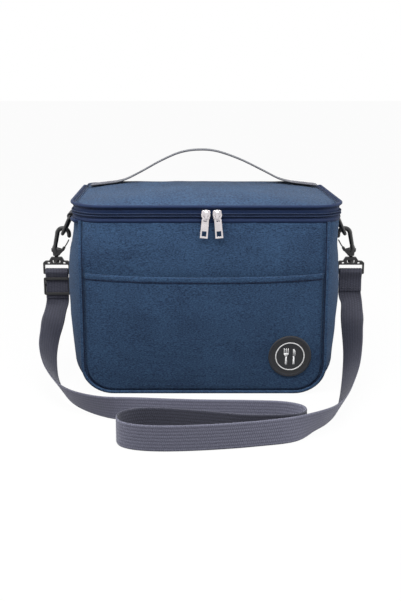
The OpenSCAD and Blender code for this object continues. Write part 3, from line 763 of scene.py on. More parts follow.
def resample(path, step):
    """Points spaced evenly along a path."""
    run = lengths(path)
    count = max(2, int(run[-1] / step))
    out, k = [], 0
    for i in range(count + 1):
        want = run[-1] * i / count
        while k < len(path) - 2 and run[k + 1] < want:
            k += 1
        span = max(1e-9, run[k + 1] - run[k])
        out.append(path[k].lerp(path[k + 1], (want - run[k]) / span))
    return out


STITCH_SHARE = 0.72


def stitches(name, path, out, body, pitch=3.2 * MM, radius=0.28 * MM):
    """A row of short threads laid along a path, each one dipping into the cloth at both ends."""
    verts, faces, strips = [], [], []
    points = resample(path, pitch)
    profile = ((0.0, -0.8, 0.5), (0.18, 0.5, 1.0), (0.5, 0.9, 1.1), (0.82, 0.5, 1.0), (1.0, -0.8, 0.5))
    sides = 6
    for i in range(len(points) - 1):
        a, b = points[i], points[i].lerp(points[i + 1], STITCH_SHARE)
        away = Vector(out(a) if callable(out) else out).normalized()
        along = (b - a).normalized()
        side = along.cross(away).normalized()
        first = len(verts)
        for t, lift, fat in profile:
            middle = a.lerp(b, t) + away * radius * lift
            for j in range(sides):
                angle = 2 * math.pi * j / sides
                verts.append(middle + (side * math.cos(angle) + away * math.sin(angle)) * radius * fat)
                strips.append((i * pitch + t * pitch, 0, 0))
        faces += [tuple(first + q for q in f) for f in grid_faces(len(profile), sides, wrap_cols=True)]
        faces.append(tuple(first + j for j in range(sides - 1, -1, -1)))
        faces.append(tuple(first + (len(profile) - 1) * sides + j for j in range(sides)))
    obj = new_object(name, verts, faces, body)
    set_strip(obj, strips)
    return obj


def navy_row(*row):
    """A row of stitches in the bag's own navy thread."""
    return finish_piece(stitches(*row), thread_navy, "thread")


# ---- Front pocket ----
POCKET_H = 130 * MM
POCKET_DIP = 3 * MM
POCKET_FOOT = 2 * PIPING_R + 0.3 * MM
POCKET_BULGE = 7.5 * MM
POCKET_HALF_W = PANEL_HALF_W - POCKET_FOOT
HEM_H = 6 * MM
HEM_T = 0.8 * MM


def pocket_mouth(x):
    return POCKET_H - POCKET_DIP * (1 - (x / POCKET_HALF_W) ** 2)


def pocket_bottom(x):
    r = CORNER_R - POCKET_FOOT
    over = max(0.0, abs(x) - (POCKET_HALF_W - r))
    return POCKET_FOOT + r - math.sqrt(max(0.0, r * r - over * over))


def pocket_out(x, z):
    """How far the pocket's back face stands in front of the panel."""
    low = pocket_bottom(x)
    rise = min(1.0, max(0.0, (z - low) / (pocket_mouth(x) - low)))
    return POCKET_BULGE * (1 - min(1.0, abs(x) / POCKET_HALF_W) ** 4) * math.sin(math.pi / 2 * rise) ** 0.7


def pocket_surface(x, z, proud=0.0):
    inner = max(0.0, min(POCKET_HALF_W - abs(x), z - pocket_bottom(x)))
    full = ease(inner / (26 * MM))
    soft = folds(full, (0.9 * MM, (x, 0, z * 1.5), 60 * MM, 21), (0.45 * MM, (x, 0, z), 20 * MM, 23))
    gather = seam_pucker(POCKET_HALF_W - abs(x), z, 0.8 * MM, 6)
    gather += seam_pucker(z - pocket_bottom(x), x, 0.6 * MM, 9)
    return Vector((x, FRONT_Y - pocket_out(x, z) - FABRIC_T - proud - soft - gather * full, z))


def pocket_grid(name, low_at, high_at, rows, cols, proud_at=None):
    verts = []
    for i in range(rows + 1):
        for j in range(cols + 1):
            x = POCKET_HALF_W * (2 * j / cols - 1)
            low, high = low_at(x), high_at(x)
            t = i / rows
            rise = proud_at(t) if proud_at else 0.0
            verts.append(pocket_surface(x, low + (high - low) * t, rise))
    obj = new_object(name, verts, grid_faces(rows + 1, cols + 1), "bag")
    if sum(p.normal.y for p in obj.data.polygons) > 0:
        obj.data.flip_normals()
    return obj


pocket = pocket_grid("pocket_fabric", pocket_bottom, pocket_mouth, 46, 84)
add_thickness(pocket, FABRIC_T)
finish_piece(pocket, shell_blue, "shell_fabric", "pocket_panel")

hem = pocket_grid("pocket_hem_fold", lambda x: pocket_mouth(x) - HEM_H,
                  lambda x: pocket_mouth(x) + 0.3 * MM, 8, 84,
                  proud_at=lambda t: HEM_T * (0.15 + 0.85 * math.sin(math.pi * t) ** 0.6))
add_thickness(hem, HEM_T)
finish_piece(hem, shell_blue, "shell_fabric", "pocket_hem")


def pocket_line(below, proud):
    xs = [POCKET_HALF_W * (2 * j / 120 - 1) * 0.985 for j in range(121)]
    return [pocket_surface(x, pocket_mouth(x) - below, proud) for x in xs]


navy_row("hem_stitching", pocket_line(HEM_H - 0.9 * MM, 0.55 * MM), (0, -1, 0), "bag")
# A thin dark tube under the hem's fold: painted shade along the crease.
hem_crease = tube("hem_crease", pocket_line(HEM_H + 0.2 * MM, 0.0), 0.45 * MM, "bag", sides=6)
finish_piece(hem_crease, crease_shade_blue, "navy_binding")
for side_name, front in (("front", True), ("back", False)):
    sign = -1 if front else 1
    line = seam_path(piping_line, sign * 0.9 * MM, 2 * PIPING_R + 2.6 * MM, front)
    navy_row(side_name + "_seam_stitching", line, (0, sign, 0), "bag")


# ---- Zip: tapes, corrugated coils and the rolled binding below them ----
def zip_stations():
    """(x, y, outward angle) from the back left, round the front, to the back right."""
    side_steps, arc_steps, front_steps = 24, 16, 60
    halves = {}
    for side in (-1, 1):
        half, r, draw = ZIP_SIDES[side]
        lean = math.atan2(draw, ZIP_TAIL_Y - FRONT_Y - r)
        points = []
        for i in range(side_steps + 1):
            y = ZIP_TAIL_Y + (FRONT_Y + r - ZIP_TAIL_Y) * i / side_steps
            points.append((zip_side_x(side, y), y, lean * (1 - i / side_steps)))
        for i in range(1, arc_steps + 1):
            a = -math.pi / 2 * i / arc_steps
            points.append((half - r + r * math.cos(a), FRONT_Y + r + r * math.sin(a), a))
        halves[side] = points
    left = [(-x, y, math.pi - a) for x, y, a in halves[-1]]
    start, end = left[-1][0], halves[1][-1][0]
    across = [(start + (end - start) * i / front_steps, FRONT_Y, 1.5 * math.pi)
              for i in range(1, front_steps)]
    return left + across + list(reversed(halves[1]))


zip_line = zip_stations()


def zip_point(s, out, z):
    return Vector((s[0] + out * math.cos(s[2]), s[1] + out * math.sin(s[2]), z))


def lid_rise_at(y):
    return LID_RISE * (y - FRONT_Y) / (BACK_Y - FRONT_Y)


# What lies above this height follows the lid's rise to the back.
RISE_FROM_Z = ZIP_Z + 3 * MM


def zip_strip(name, section, body, material, slot_name, *nodes):
    """A strip along the zip with a section of (out, height) points."""
    rings, strips = [], []
    run = lengths([zip_point(s, 0, 0) for s in zip_line])
    for s, u in zip(zip_line, run):
        wave_out = 0.25 * MM * noise.noise(Vector((u / (24 * MM), 31, 0)))
        rings.append([zip_point(s, out + wave_out, z + (lid_rise_at(s[1]) if z > RISE_FROM_Z else 0.0))
                      for out, z in section])
        strips.append([(u, z, 0) for _, z in section])
    return finish_piece(loft(name, rings, body, strips), material, slot_name, *nodes)


def rolled(z_low, z_high, out, inner, bulge):
    """Section of a folded edge: flat behind and rounded in front."""
    steps = 8
    front = [(out + bulge * math.sin(math.pi * i / steps), z_low + (z_high - z_low) * i / steps)
             for i in range(steps + 1)]
    return front + [(inner, z_high), (inner, z_low)]


tape_low = BODY_H + 0.1 * MM
zip_strip("zip_tape_low", rolled(tape_low, BODY_H + TAPE_H, -0.25 * MM, -TAPE_T, 0.35 * MM),
          "bag", navy_tape, "zip_tape", "zip_tape_lower")
zip_strip("zip_tape_high", rolled(LID_Z - TAPE_H, LID_Z, -0.25 * MM, -TAPE_T, 0.35 * MM),
          "lid", navy_tape, "zip_tape", "zip_tape_upper")
zip_strip("rim_binding_roll", rolled(BODY_H - 0.8 * MM, BODY_H + 3.6 * MM, 0.15 * MM, -0.1 * MM, 0.9 * MM),
          "bag", navy_tape, "navy_binding", "rim_binding")
COIL_D = 2.2 * MM
COIL_PITCH = 1.5 * MM


def zip_coil(name, z, body, *nodes):
    path = resample([zip_point(s, COIL_D / 2, z) for s in zip_line], COIL_PITCH / 4)
    radii = [COIL_D / 2 * (0.86 + 0.14 * math.cos(math.pi / 2 * i)) for i in range(len(path))]
    coil = tube(name, path, radii, body, sides=8)
    return finish_piece(coil, navy_coil, "zip_coil", *nodes)


zip_coil("zip_coil_low", ZIP_Z - 0.2 * MM - COIL_D / 2, "bag", "zip_coil_lower")
zip_coil("zip_coil_high", ZIP_Z + 0.2 * MM + COIL_D / 2, "lid", "zip_coil_upper")
for z, body, row_name in ((BODY_H + 4.6 * MM, "bag", "zip_stitching_low"),
                          (LID_Z - 1.8 * MM, "lid", "zip_stitching_high")):
    navy_row(row_name, [zip_point(s, 0.12 * MM, z) for s in zip_line], lambda p: (p.x * 0.6, p.y, 0), body,
             2.8 * MM, 0.22 * MM)


# ---- Lid ----
def lid_outline():
    """The zip's line set in by the tape, closed behind by two short corners."""
    inner = [zip_point(s, -TAPE_T, 0) for s in zip_line]
    r, turns, back = 9 * MM, 6, 44
    ends = []
    for side in (1, -1):
        x = zip_side_x(side, ZIP_TAIL_Y) - TAPE_T
        ends.append([Vector((side * (x - r * (1 - math.cos(a))), LID_BACK_Y - r + r * math.sin(a), 0))
                     for a in (math.pi / 2 * k / turns for k in range(turns + 1))])
    right, left = ends
    across = [right[-1].lerp(left[-1], i / back) for i in range(1, back)]
    return inner + right + across + list(reversed(left))


def lid_height(y, k):
    return lid_rise_at(y) + LID_CROWN * (1 - k ** 3)


LID_RINGS = 26
# Depths below the lid's outer face. The foil's ripple is deeper than its gap to the foam above it.
LID_FABRIC_T = 2 * MM
LID_FOAM_DEPTH = 2.4 * MM
LID_FOAM_T = 5.8 * MM
LID_FOIL_DEPTH = 8.8 * MM
LID_FOIL_T = 0.6 * MM
outline = lid_outline()


def lid_sheet(name, depth, shrink, up=True, ripple=True):
    verts = [Vector((0, 0, LID_Z - depth + lid_height(0, 0)))]
    n = len(outline)
    for i in range(1, LID_RINGS + 1):
        k = (i / LID_RINGS) ** 0.85
        for p in outline:
            x, y = p.x * k * shrink, p.y * k * shrink
            soft = 0.0
            if ripple:
                full = ease((1 - k) / 0.3)
                soft = folds(full, (1.1 * MM, (x, y * 1.3, 4), 58 * MM, 31),
                             (0.4 * MM, (x, y, 4), 19 * MM, 33))
                gather = noise.noise(Vector((p.x / (13 * MM), p.y / (13 * MM), 6)))
                soft += 0.6 * MM * math.exp(-(1 - k) / 0.07) * gather * (k < 1)
            verts.append(Vector((x, y, LID_Z - depth + lid_height(y, k) + soft)))
    faces = [(0, 1 + j, 1 + (j + 1) % n) for j in range(n)]
    faces += [tuple(1 + q for q in f) for f in grid_faces(LID_RINGS, n, wrap_cols=True)]
    obj = new_object(name, verts, faces, "lid")
    if (obj.data.polygons[0].normal.z > 0) != up:
        obj.data.flip_normals()
    return obj


lid_top = lid_sheet("lid_top_fabric", 0.0, 1.0)
add_thickness(lid_top, LID_FABRIC_T)
finish_piece(lid_top, shell_blue, "shell_fabric", "lid_top")
lid_liner = lid_sheet("lid_foil", LID_FOIL_DEPTH, 0.968, up=False)
add_thickness(lid_liner, LID_FOIL_T)
finish_piece(lid_liner, foil, "foil", "lid_liner")


END_TUCK = 20 * MM


def tail_share(s):
    """1 along the zip, easing to 0 where its piping tucks in behind."""
    return ease((ZIP_TAIL_Y - s[1]) / END_TUCK)


def lid_piping_point(s):
    tail = tail_share(s)
    out = (PIPING_R - 0.4 * MM) * tail - 1.5 * MM * (1 - tail)
    return zip_point(s, out, LID_Z + 0.9 * MM + lid_rise_at(s[1]) - 3 * MM * (1 - tail))


lid_cord = tube("lid_piping_cord", [lid_piping_point(s) for s in zip_line],
                [PIPING_R * (0.55 + 0.45 * tail_share(s)) for s in zip_line], "lid", sides=14)
finish_piece(lid_cord, navy_tape, "navy_binding", "lid_piping")
# A dark tube along the lid's seam, closing the slit under the piping; its colour is painted shade in the
# seam.
lid_crease = tube("lid_seam", [zip_point(s, -TAPE_T - 0.1 * MM, LID_Z + 0.1 * MM + lid_rise_at(s[1]))
                               for s in zip_line], 1.3 * MM, "lid", sides=10)
finish_piece(lid_crease, crease_shade_blue, "navy_binding")
navy_row("lid_seam_stitching", [zip_point(s, -TAPE_T - 3.6 * MM, LID_Z + 0.75 * MM + lid_rise_at(s[1]))
                                for s in zip_line], (0, 0, 1), "lid")
# Binding that closes the lid's foam edge on the inside.
lid_bind = tube("lid_inner_binding", [Vector((p.x * 0.975, p.y * 0.975, LID_Z - 8.4 * MM + lid_rise_at(p.y)))
                                      for p in outline], 1.5 * MM, "lid", sides=10, closed=True)
finish_piece(lid_bind, navy_tape, "navy_binding")
lid_skirt = new_object("lid_inner_skirt",
                       [Vector((p.x * k, p.y * k, LID_Z - d + lid_rise_at(p.y))) for d, k in
                        ((2.2 * MM, 0.985), (5 * MM, 0.984), (8 * MM, 0.98)) for p in outline],
                       grid_faces(3, len(outline), wrap_cols=True), "lid")
set_strip(lid_skirt, [(u, 0, 0) for _ in range(3) for u in lengths(outline)])
finish_piece(lid_skirt, navy_tape, "navy_binding")


# ---- Back of the lid and the cloth hinge ----
BACK_HALF_W = 122 * MM


def back_strip(name, z_low, z_high, y_at, rows, body, material, slot_name, *nodes, half=BACK_HALF_W,
               thickness=1.2 * MM):
    cols = 70
    verts, strips = [], []
    for i in range(rows + 1):
        z = z_low + (z_high - z_low) * i / rows
        for j in range(cols + 1):
            x = half * (2 * j / cols - 1)
            verts.append((x, y_at(x, z), z))
            strips.append((x, z, 0))
    obj = new_object(name, verts, grid_faces(rows + 1, cols + 1), body)
    if sum(p.normal.y for p in obj.data.polygons) < 0:
        obj.data.flip_normals()
    set_strip(obj, strips)
    add_thickness(obj, thickness)
    return finish_piece(obj, material, slot_name, *nodes)


back_strip("lid_back_fabric", BODY_H + 0.8 * MM, LID_Z + LID_RISE - 0.2 * MM,
           lambda x, z: LID_BACK_Y + 0.5 * MM * puff((x, 0, z), 22 * MM, 41), 8, "lid", shell_blue,
           "shell_fabric", "lid_back_band")
hinge = back_strip("cloth_hinge", BODY_H - 13 * MM, BODY_H + 5 * MM,
                   lambda x, z: BACK_Y + 0.7 * MM - 1.1 * MM * ease((z - BODY_H + 3 * MM) / (6 * MM)), 18,
                   None, navy_tape, "navy_binding", "hinge_strip", half=PANEL_HALF_W - 6 * MM,
                   thickness=0.8 * MM)
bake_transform(hinge)
for z, body, row_name, shift in ((BODY_H - 11 * MM, "bag", "hinge_stitching_low", 1.2 * MM),
                                 (BODY_H + 4.4 * MM, "lid", "hinge_stitching_high", 0.1 * MM)):
    half = PANEL_HALF_W - 8 * MM
    navy_row(row_name, [Vector((-half + 2 * half * i / 60, BACK_Y + shift, z)) for i in range(61)],
             (0, 1, 0), body)


# ---- Back corners: tape that closes the rim between each end of the zip and the back ----
CORNER_TURN_R = 9 * MM
CORNER_LAP = 4 * MM


def corner_line(side):
    """From the zip's end round to the back, as (x, y)."""
    x, y, r = zip_side_x(side, ZIP_TAIL_Y) - 0.3 * MM, LID_BACK_Y + 0.2 * MM, CORNER_TURN_R
    line = [(x, ZIP_TAIL_Y - CORNER_LAP)]
    line += [(x - r * (1 - math.cos(a)), y - r + r * math.sin(a))
             for a in (math.pi / 2 * k / 8 for k in range(9))]
    line.append((BACK_HALF_W - CORNER_LAP, y))
    return resample([Vector((side * px, py, 0)) for px, py in line], 0.8 * MM)


def corner_tape(side, label, low, high, body):
    line = corner_line(side)
    rows = 8
    verts = [p + Vector((0, 0, low + (high(p.y) - low) * i / rows)) for i in range(rows + 1) for p in line]
    obj = new_object(label, verts, grid_faces(rows + 1, len(line)), body)
    if (obj.data.polygons[0].normal.x > 0) != (side > 0):
        obj.data.flip_normals()
    set_strip(obj, [(u, low, 0) for _ in range(rows + 1) for u in lengths(line)])
    add_thickness(obj, TAPE_T)
    finish_piece(obj, navy_tape, "zip_tape")


for side, label in ((-1, "left"), (1, "right")):
    corner_tape(side, label + "_corner_tape_low", BODY_H - 1.5 * MM, lambda y: ZIP_Z - 0.2 * MM, "bag")
    corner_tape(side, label + "_corner_tape_high", ZIP_Z + 0.2 * MM,
                lambda y: LID_Z + 0.4 * MM + lid_rise_at(y), "lid")


# ---- Top handle ----
HANDLE_Y = 45 * MM
HANDLE_T = 1.3 * MM
HANDLE_TILT = 0.04
HANDLE_ROUTE_MM = [
    (-127, 0, 204.8), (-112, 0, 206.6), (-98, 0, 208.4), (-86, 0, 212), (-70, 0, 220),
    (-48, 0, 232), (-27, 0, 241), (-7, 0, 244.2), (14, 0, 242.7), (40, 0, 234),
    (66, 0, 221.5), (84, 0, 212.4), (98, 0, 208.4), (112, 0, 206.6), (127, 0, 204.8),
]
handle_path = smooth_path([Vector(p) * MM + Vector((0, HANDLE_Y, 0)) for p in HANDLE_ROUTE_MM], 10)
handle = sweep_webbing("handle_webbing", handle_path, [(0, 1, -HANDLE_TILT)] * len(handle_path), 0,
                       len(handle_path) - 1, "lid", thickness=HANDLE_T)
finish_piece(handle, handle_web, "handle_webbing", "handle")
STITCH_IN = 3 * MM
box_rows = []
for side in (-1, 1):
    inner, outer = side * 101 * MM, side * 123.5 * MM
    low, high = HANDLE_Y - WEB_W / 2 + STITCH_IN, HANDLE_Y + WEB_W / 2 - STITCH_IN

    def on_handle(x, y):
        best = min(handle_path, key=lambda p: abs(p.x - x))
        return Vector((x, y, best.z - HANDLE_TILT * (y - HANDLE_Y) + 0.45 * MM))

    corners = [(inner, low), (outer, low), (outer, high), (inner, high)]
    runs = [(corners[i], corners[(i + 1) % 4]) for i in range(4)]
    runs += [(corners[0], corners[2]), (corners[1], corners[3])]
    for (ax, ay), (bx, by) in runs:
        line = [on_handle(ax + (bx - ax) * i / 12, ay + (by - ay) * i / 12) for i in range(13)]
        box_rows.append(stitches("box_row", line, (0, 0, 1), None, 2.2 * MM))
handle_box = join("handle_box_stitching", box_rows, "lid")
finish_piece(handle_box, thread_grey, "thread", "handle_stitching")


# ---- Zip sliders and pull tabs ----
ZIP_MEET_X = 7.7 * MM
SLIDER_X = 5.6 * MM
SLIDER_Y = FRONT_Y - 5 * MM
PIVOT_Y = SLIDER_Y - 1.9 * MM
PIVOT_Z = ZIP_Z + 4.2 * MM
PULL_LEN = 27 * MM


def rounded_outline(points, radius, steps=5):
    """A polygon with each corner rounded; points are (x, y)."""
    out = []
    n = len(points)
    for i in range(n):
        p = Vector(points[i])
        a = Vector(points[i - 1]) - p
        b = Vector(points[(i + 1) % n]) - p
        half = a.angle(b) / 2
        cut = min(radius / math.tan(half), a.length * 0.48, b.length * 0.48)
        start, end = p + a.normalized() * cut, p + b.normalized() * cut
        for k in range(steps + 1):
            t = k / steps
            out.append(tuple((1 - t) ** 2 * start + 2 * t * (1 - t) * p + t ** 2 * end))
    return out


def box_points(x0, x1, y0, y1):
    return [(x0, y0), (x1, y0), (x1, y1), (x0, y1)]


def plate_with_holes(name, outer, holes, place, depth, bevel):
    """A flat plate with holes, edges rounded on both faces."""
    bm = bmesh.new()
    edges = []
    for loop in [outer] + holes:
        ring = [bm.verts.new((x, y, 0)) for x, y in loop]
        edges += [bm.edges.new((ring[i], ring[(i + 1) % len(ring)])) for i in range(len(ring))]
    bmesh.ops.triangle_fill(bm, use_beauty=True, use_dissolve=True, edges=edges)
    faces = list(bm.faces)
    bmesh.ops.recalc_face_normals(bm, faces=faces)
    grown = bmesh.ops.extrude_face_region(bm, geom=faces)
    moved = [v for v in grown["geom"] if isinstance(v, bmesh.types.BMVert)]
    bmesh.ops.translate(bm, verts=moved, vec=(0, 0, depth))
    bmesh.ops.translate(bm, verts=bm.verts, vec=(0, 0, -depth / 2))
    bmesh.ops.recalc_face_normals(bm, faces=bm.faces)
    bmesh.ops.transform(bm, matrix=place, verts=bm.verts)
    mesh = bpy.data.meshes.new(name)
    bm.to_mesh(mesh)
    bm.free()
    obj = bpy.data.objects.new(name, mesh)
    bpy.context.scene.collection.objects.link(obj)
    add_bevel(obj, bevel, 2, 50)
    return obj


def facing_front(x, y, z):
    """Placing matrix: X right, Y up, Z towards the front."""
    return Matrix.Translation((x, y, z)) @ Matrix.Rotation(math.pi / 2, 4, "X")


def zip_slider(name, x, node_name):
    body = name
    top, low = ZIP_Z + 5.5 * MM, ZIP_Z - 5.5 * MM
    shield = rounded_outline([(-4.2 * MM, 5.5 * MM), (-4.5 * MM, 1 * MM), (-2.6 * MM, -5.5 * MM),
                              (2.6 * MM, -5.5 * MM), (4.5 * MM, 1 * MM), (4.2 * MM, 5.5 * MM)], 1.6 * MM)
    plate = extrude_outline("shield", shield, facing_front(x, SLIDER_Y + 1.3 * MM, ZIP_Z), 2.2 * MM, 0.5 * MM)
    rails = [extrude_outline("rail",
                             rounded_outline(box_points(-0.5 * MM, 0.5 * MM, -4.2 * MM, 4.2 * MM), 0.4 * MM),
                             facing_front(x + side * 3.4 * MM, SLIDER_Y + 2.6 * MM, ZIP_Z + 0.4 * MM),
                             1.2 * MM, 0.25 * MM)
             for side in (-1, 1)]
    arch = smooth_path([(x, SLIDER_Y + y * MM, z) for y, z in
                        ((0.4, top + 0.3 * MM), (-2.4, top + 0.2 * MM), (-4, top - 1.5 * MM),
                         (-4, ZIP_Z - 0.5 * MM), (-3.1, low + 2.6 * MM), (0.4, low + 2.4 * MM))], 6)
    section = [(1.5 * MM * c, 0.6 * MM * d) for c, d in
               ((-1, -0.6), (-0.8, -1), (0.8, -1), (1, -0.6), (1, 0.6), (0.8, 1), (-0.8, 1), (-1, 0.6))]
    rings = []
    for p, t in zip(arch, tangents(arch)):
        out = t.cross(Vector((1, 0, 0))).normalized()
        rings.append([p + Vector((a, 0, 0)) + out * b for a, b in section])
    bridge = loft("bridge", rings)
    return finish_piece(join(name + "_body", [plate, bridge] + rails, body), zip_metal, "zip_metal",
                        node_name)


def zip_pull(name, x, lean, node_name):
    place = Matrix.Translation((x, PIVOT_Y, PIVOT_Z)) @ Matrix.Rotation(lean, 4, "Y")
    place = place @ Matrix.Rotation(math.pi / 2, 4, "X")
    w, eye_r, eye_z = 4 * MM, 4.6 * MM, -3.1 * MM
    round_part = [(eye_r * math.cos(a), eye_z + eye_r * math.sin(a)) for a in
                  (math.radians(-52 + 284 * k / 36) for k in range(37))]
    outer = [(-w, -PULL_LEN), (w, -PULL_LEN), (w * 0.9, eye_z - eye_r * 0.95)] + round_part
    outer.append((-w * 0.9, eye_z - eye_r * 0.95))
    hole = [(2.9 * MM * math.cos(a), eye_z + 2.9 * MM * math.sin(a)) for a in
            (2 * math.pi * k / 28 for k in range(28))]
    window = rounded_outline(box_points(-2.3 * MM, 2.3 * MM, -PULL_LEN + 1.9 * MM, -PULL_LEN + 7.2 * MM),
                             0.3 * MM)
    eyelet = rounded_outline(box_points(-1.7 * MM, 1.7 * MM, -9.9 * MM, -7.4 * MM), 0.3 * MM)
    tab = plate_with_holes("tab", outer, [hole, window, eyelet], place, 1.3 * MM, 0.28 * MM)
    return finish_piece(join(name + "_tab", [tab], name), zip_metal, "zip_metal", node_name)


PULL_LEAN = math.radians(5)
for side in (-1, 1):
    label = "left" if side < 0 else "right"
    x = ZIP_MEET_X + side * SLIDER_X
    zip_slider(label + "_slider", x, label + "_slider")
    zip_pull(label + "_pull", x, -side * PULL_LEAN, label + "_pull")


# ---- Side hardware: drawn for the right side and mirrored for the left ----
RING_X = PANEL_HALF_W + SIDE_BULGE + 0.8 * MM
RING_Z = BODY_H - 5 * MM
RING_R = 2 * MM
RING_REACH = 22 * MM
RING_TILT = math.radians(25)
RING_HALF = 17 * MM
STEM_X, STEM_Z = 163 * MM, 132 * MM
HOOK_R, HOOK_BEND = 2.5 * MM, 6.5 * MM
HOOK_X = RING_X + RING_REACH * math.sin(RING_TILT) + 0.6 * MM
HOOK_Z = RING_Z - RING_REACH * math.cos(RING_TILT) + RING_R + 0.15 * MM + HOOK_R - HOOK_BEND
SHOULDER_Z = STEM_Z + 7 * MM
TIP_Z = HOOK_Z - 5 * MM
TAB_LOW_Z = 140 * MM


def flip_for(side, points):
    return [Vector((side * p[0], p[1], p[2])) for p in points]


def mirror_matrix(side):
    return Matrix.Diagonal((side, 1, 1, 1))


def wall_half(side, z):
    """How far the side wall stands from the middle at y = 0."""
    angle = 0.0 if side > 0 else math.pi
    return abs(wall_point((side * PANEL_HALF_W, z, angle, wall_bulge(z)), 0.0, 0.0).x)


def ring_tab(side, label):
    """Webbing folded round the ring's bar and sewn to the side wall."""
    wall_out = [(wall_half(side, z) + 1.1 * MM, z) for z in
                (TAB_LOW_Z + (RING_Z - 9 * MM - TAB_LOW_Z) * i / 10 for i in range(11))]
    loop_r = RING_R + 0.3 * MM + WEB_T / 2
    loop = [(RING_X - 0.3 * MM + loop_r * math.sin(a), RING_Z - loop_r * math.cos(a)) for a in
            (math.pi * 1.5 * k / 14 for k in range(15))]
    path = smooth_path([(x, 0, z) for x, z in wall_out + loop], 2)
    tab = sweep_webbing(label + "_tab_webbing", flip_for(side, path), [(0, 1, 0)] * len(path), 0,
                        len(path) - 1, "bag")
    finish_piece(tab, black_web, "black_webbing", label + "_ring_tab")
    rows = []
    for z in (TAB_LOW_Z + 3 * MM, TAB_LOW_Z + 17 * MM):
        x = wall_half(side, z) + 1.9 * MM
        line = flip_for(side, [(x, -10 * MM + 20 * MM * i / 10, z) for i in range(11)])
        rows.append(stitches("tab_row", line, (side, 0, 0), None, 2.2 * MM))
    finish_piece(join(label + "_tab_stitching", rows, "bag"), thread_grey, "thread")


def d_ring(side, label):
    """Round wire: a straight bar in the tab and a bow that tapers to the hook."""
    corner = 4.5 * MM
    bow = RING_HALF - 5 * MM
    base = [(-RING_HALF, 0), (RING_HALF, 0), (bow, -RING_REACH), (-bow, -RING_REACH)]
    rounded = rounded_outline(base, corner, 8)
    tilt = Matrix.Translation((RING_X, 0, RING_Z)) @ Matrix.Rotation(-RING_TILT, 4, "Y")
    path = [mirror_matrix(side) @ (tilt @ Vector((0, y, z))) for y, z in rounded]
    ring = tube(label + "_ring_wire", path, RING_R * 0.96, label + "_clip", 14, up=(0.3, 0.1, 1), closed=True)
    finish_piece(ring, black_plastic, "black_plastic", label + "_d_ring")


def hook(side, label):
    """Cast hook: a round hoop that thickens into the shoulder, with a swivel stem."""
    foot_x = STEM_X + 1.5 * MM
    route = [(STEM_X + 0.3 * MM, 0, SHOULDER_Z - 3 * MM), (foot_x, 0, SHOULDER_Z + 1 * MM)]
    climb = 5
    top = (HOOK_X + HOOK_BEND, 0, HOOK_Z)
    route += [tuple(Vector(route[1]).lerp(Vector(top), k / climb)) for k in range(1, climb)]
    route += [(HOOK_X + HOOK_BEND * math.cos(a), 0, HOOK_Z + HOOK_BEND * math.sin(a)) for a in
              (math.pi * k / 10 for k in range(11))]
    route += [(HOOK_X - HOOK_BEND, 0, TIP_Z + 0.8 * MM)]
    path = smooth_path(route, 4)
    n = len(path)
    thick = []
    for i in range(n):
        t = i / (n - 1)
        share = 1.35 - 0.45 * ease(t / 0.16) if t < 0.16 else 0.9 + 0.1 * math.sin(math.pi * t)
        r = HOOK_R * share
        if t > 0.96:
            r *= math.sqrt(max(0.02, 1 - ((t - 0.96) / 0.04) ** 2))
        thick.append(r)
    hoop = tube("hoop", flip_for(side, path), thick, None, 16, up=(0, 1, 0))
    shoulder = extrude_outline("shoulder", [(side * x, z) for x, z in rounded_outline(
        [(STEM_X - 7.4 * MM, SHOULDER_Z - 2.2 * MM), (STEM_X - 9.8 * MM, SHOULDER_Z - 0.4 * MM),
         (STEM_X - 7.4 * MM, SHOULDER_Z + 1 * MM), (STEM_X + 3 * MM, SHOULDER_Z - 0.8 * MM),
         (STEM_X + 3.8 * MM, SHOULDER_Z - 3 * MM), (STEM_X + 2.8 * MM, STEM_Z),
         (STEM_X - 2.8 * MM, STEM_Z)], 0.9 * MM)], facing_front(0, 0, 0), 5.2 * MM, 0.9 * MM)
    stem = lathe("stem",
                 [(0.01 * MM, -7.4 * MM), (3 * MM, -7.4 * MM), (3.4 * MM, -6.9 * MM), (3.4 * MM, -5.5 * MM),
                          (3 * MM, -5 * MM), (2 * MM, -4.9 * MM), (2 * MM, 0.2 * MM), (3.6 * MM, 0.3 * MM),
                          (4 * MM, 0.9 * MM), (3.4 * MM, 1.8 * MM), (0.01 * MM, 2 * MM)],
                 Matrix.Translation((side * STEM_X, 0, STEM_Z)))
    rib = tube("rib",
               flip_for(side, [(STEM_X - 5.5 * MM + 10.5 * MM * k / 8, 0, SHOULDER_Z - 0.2 * MM - 0.6 * MM
                                      * math.cos(math.pi * k / 4)) for k in range(9)]), 2.2 * MM, None, 12,
               up=(0, 1, 0))
    piece = join(label + "_hook_cast", [hoop, shoulder, stem, rib], label + "_clip")
    finish_piece(piece, black_plastic, "black_plastic", label + "_hook")


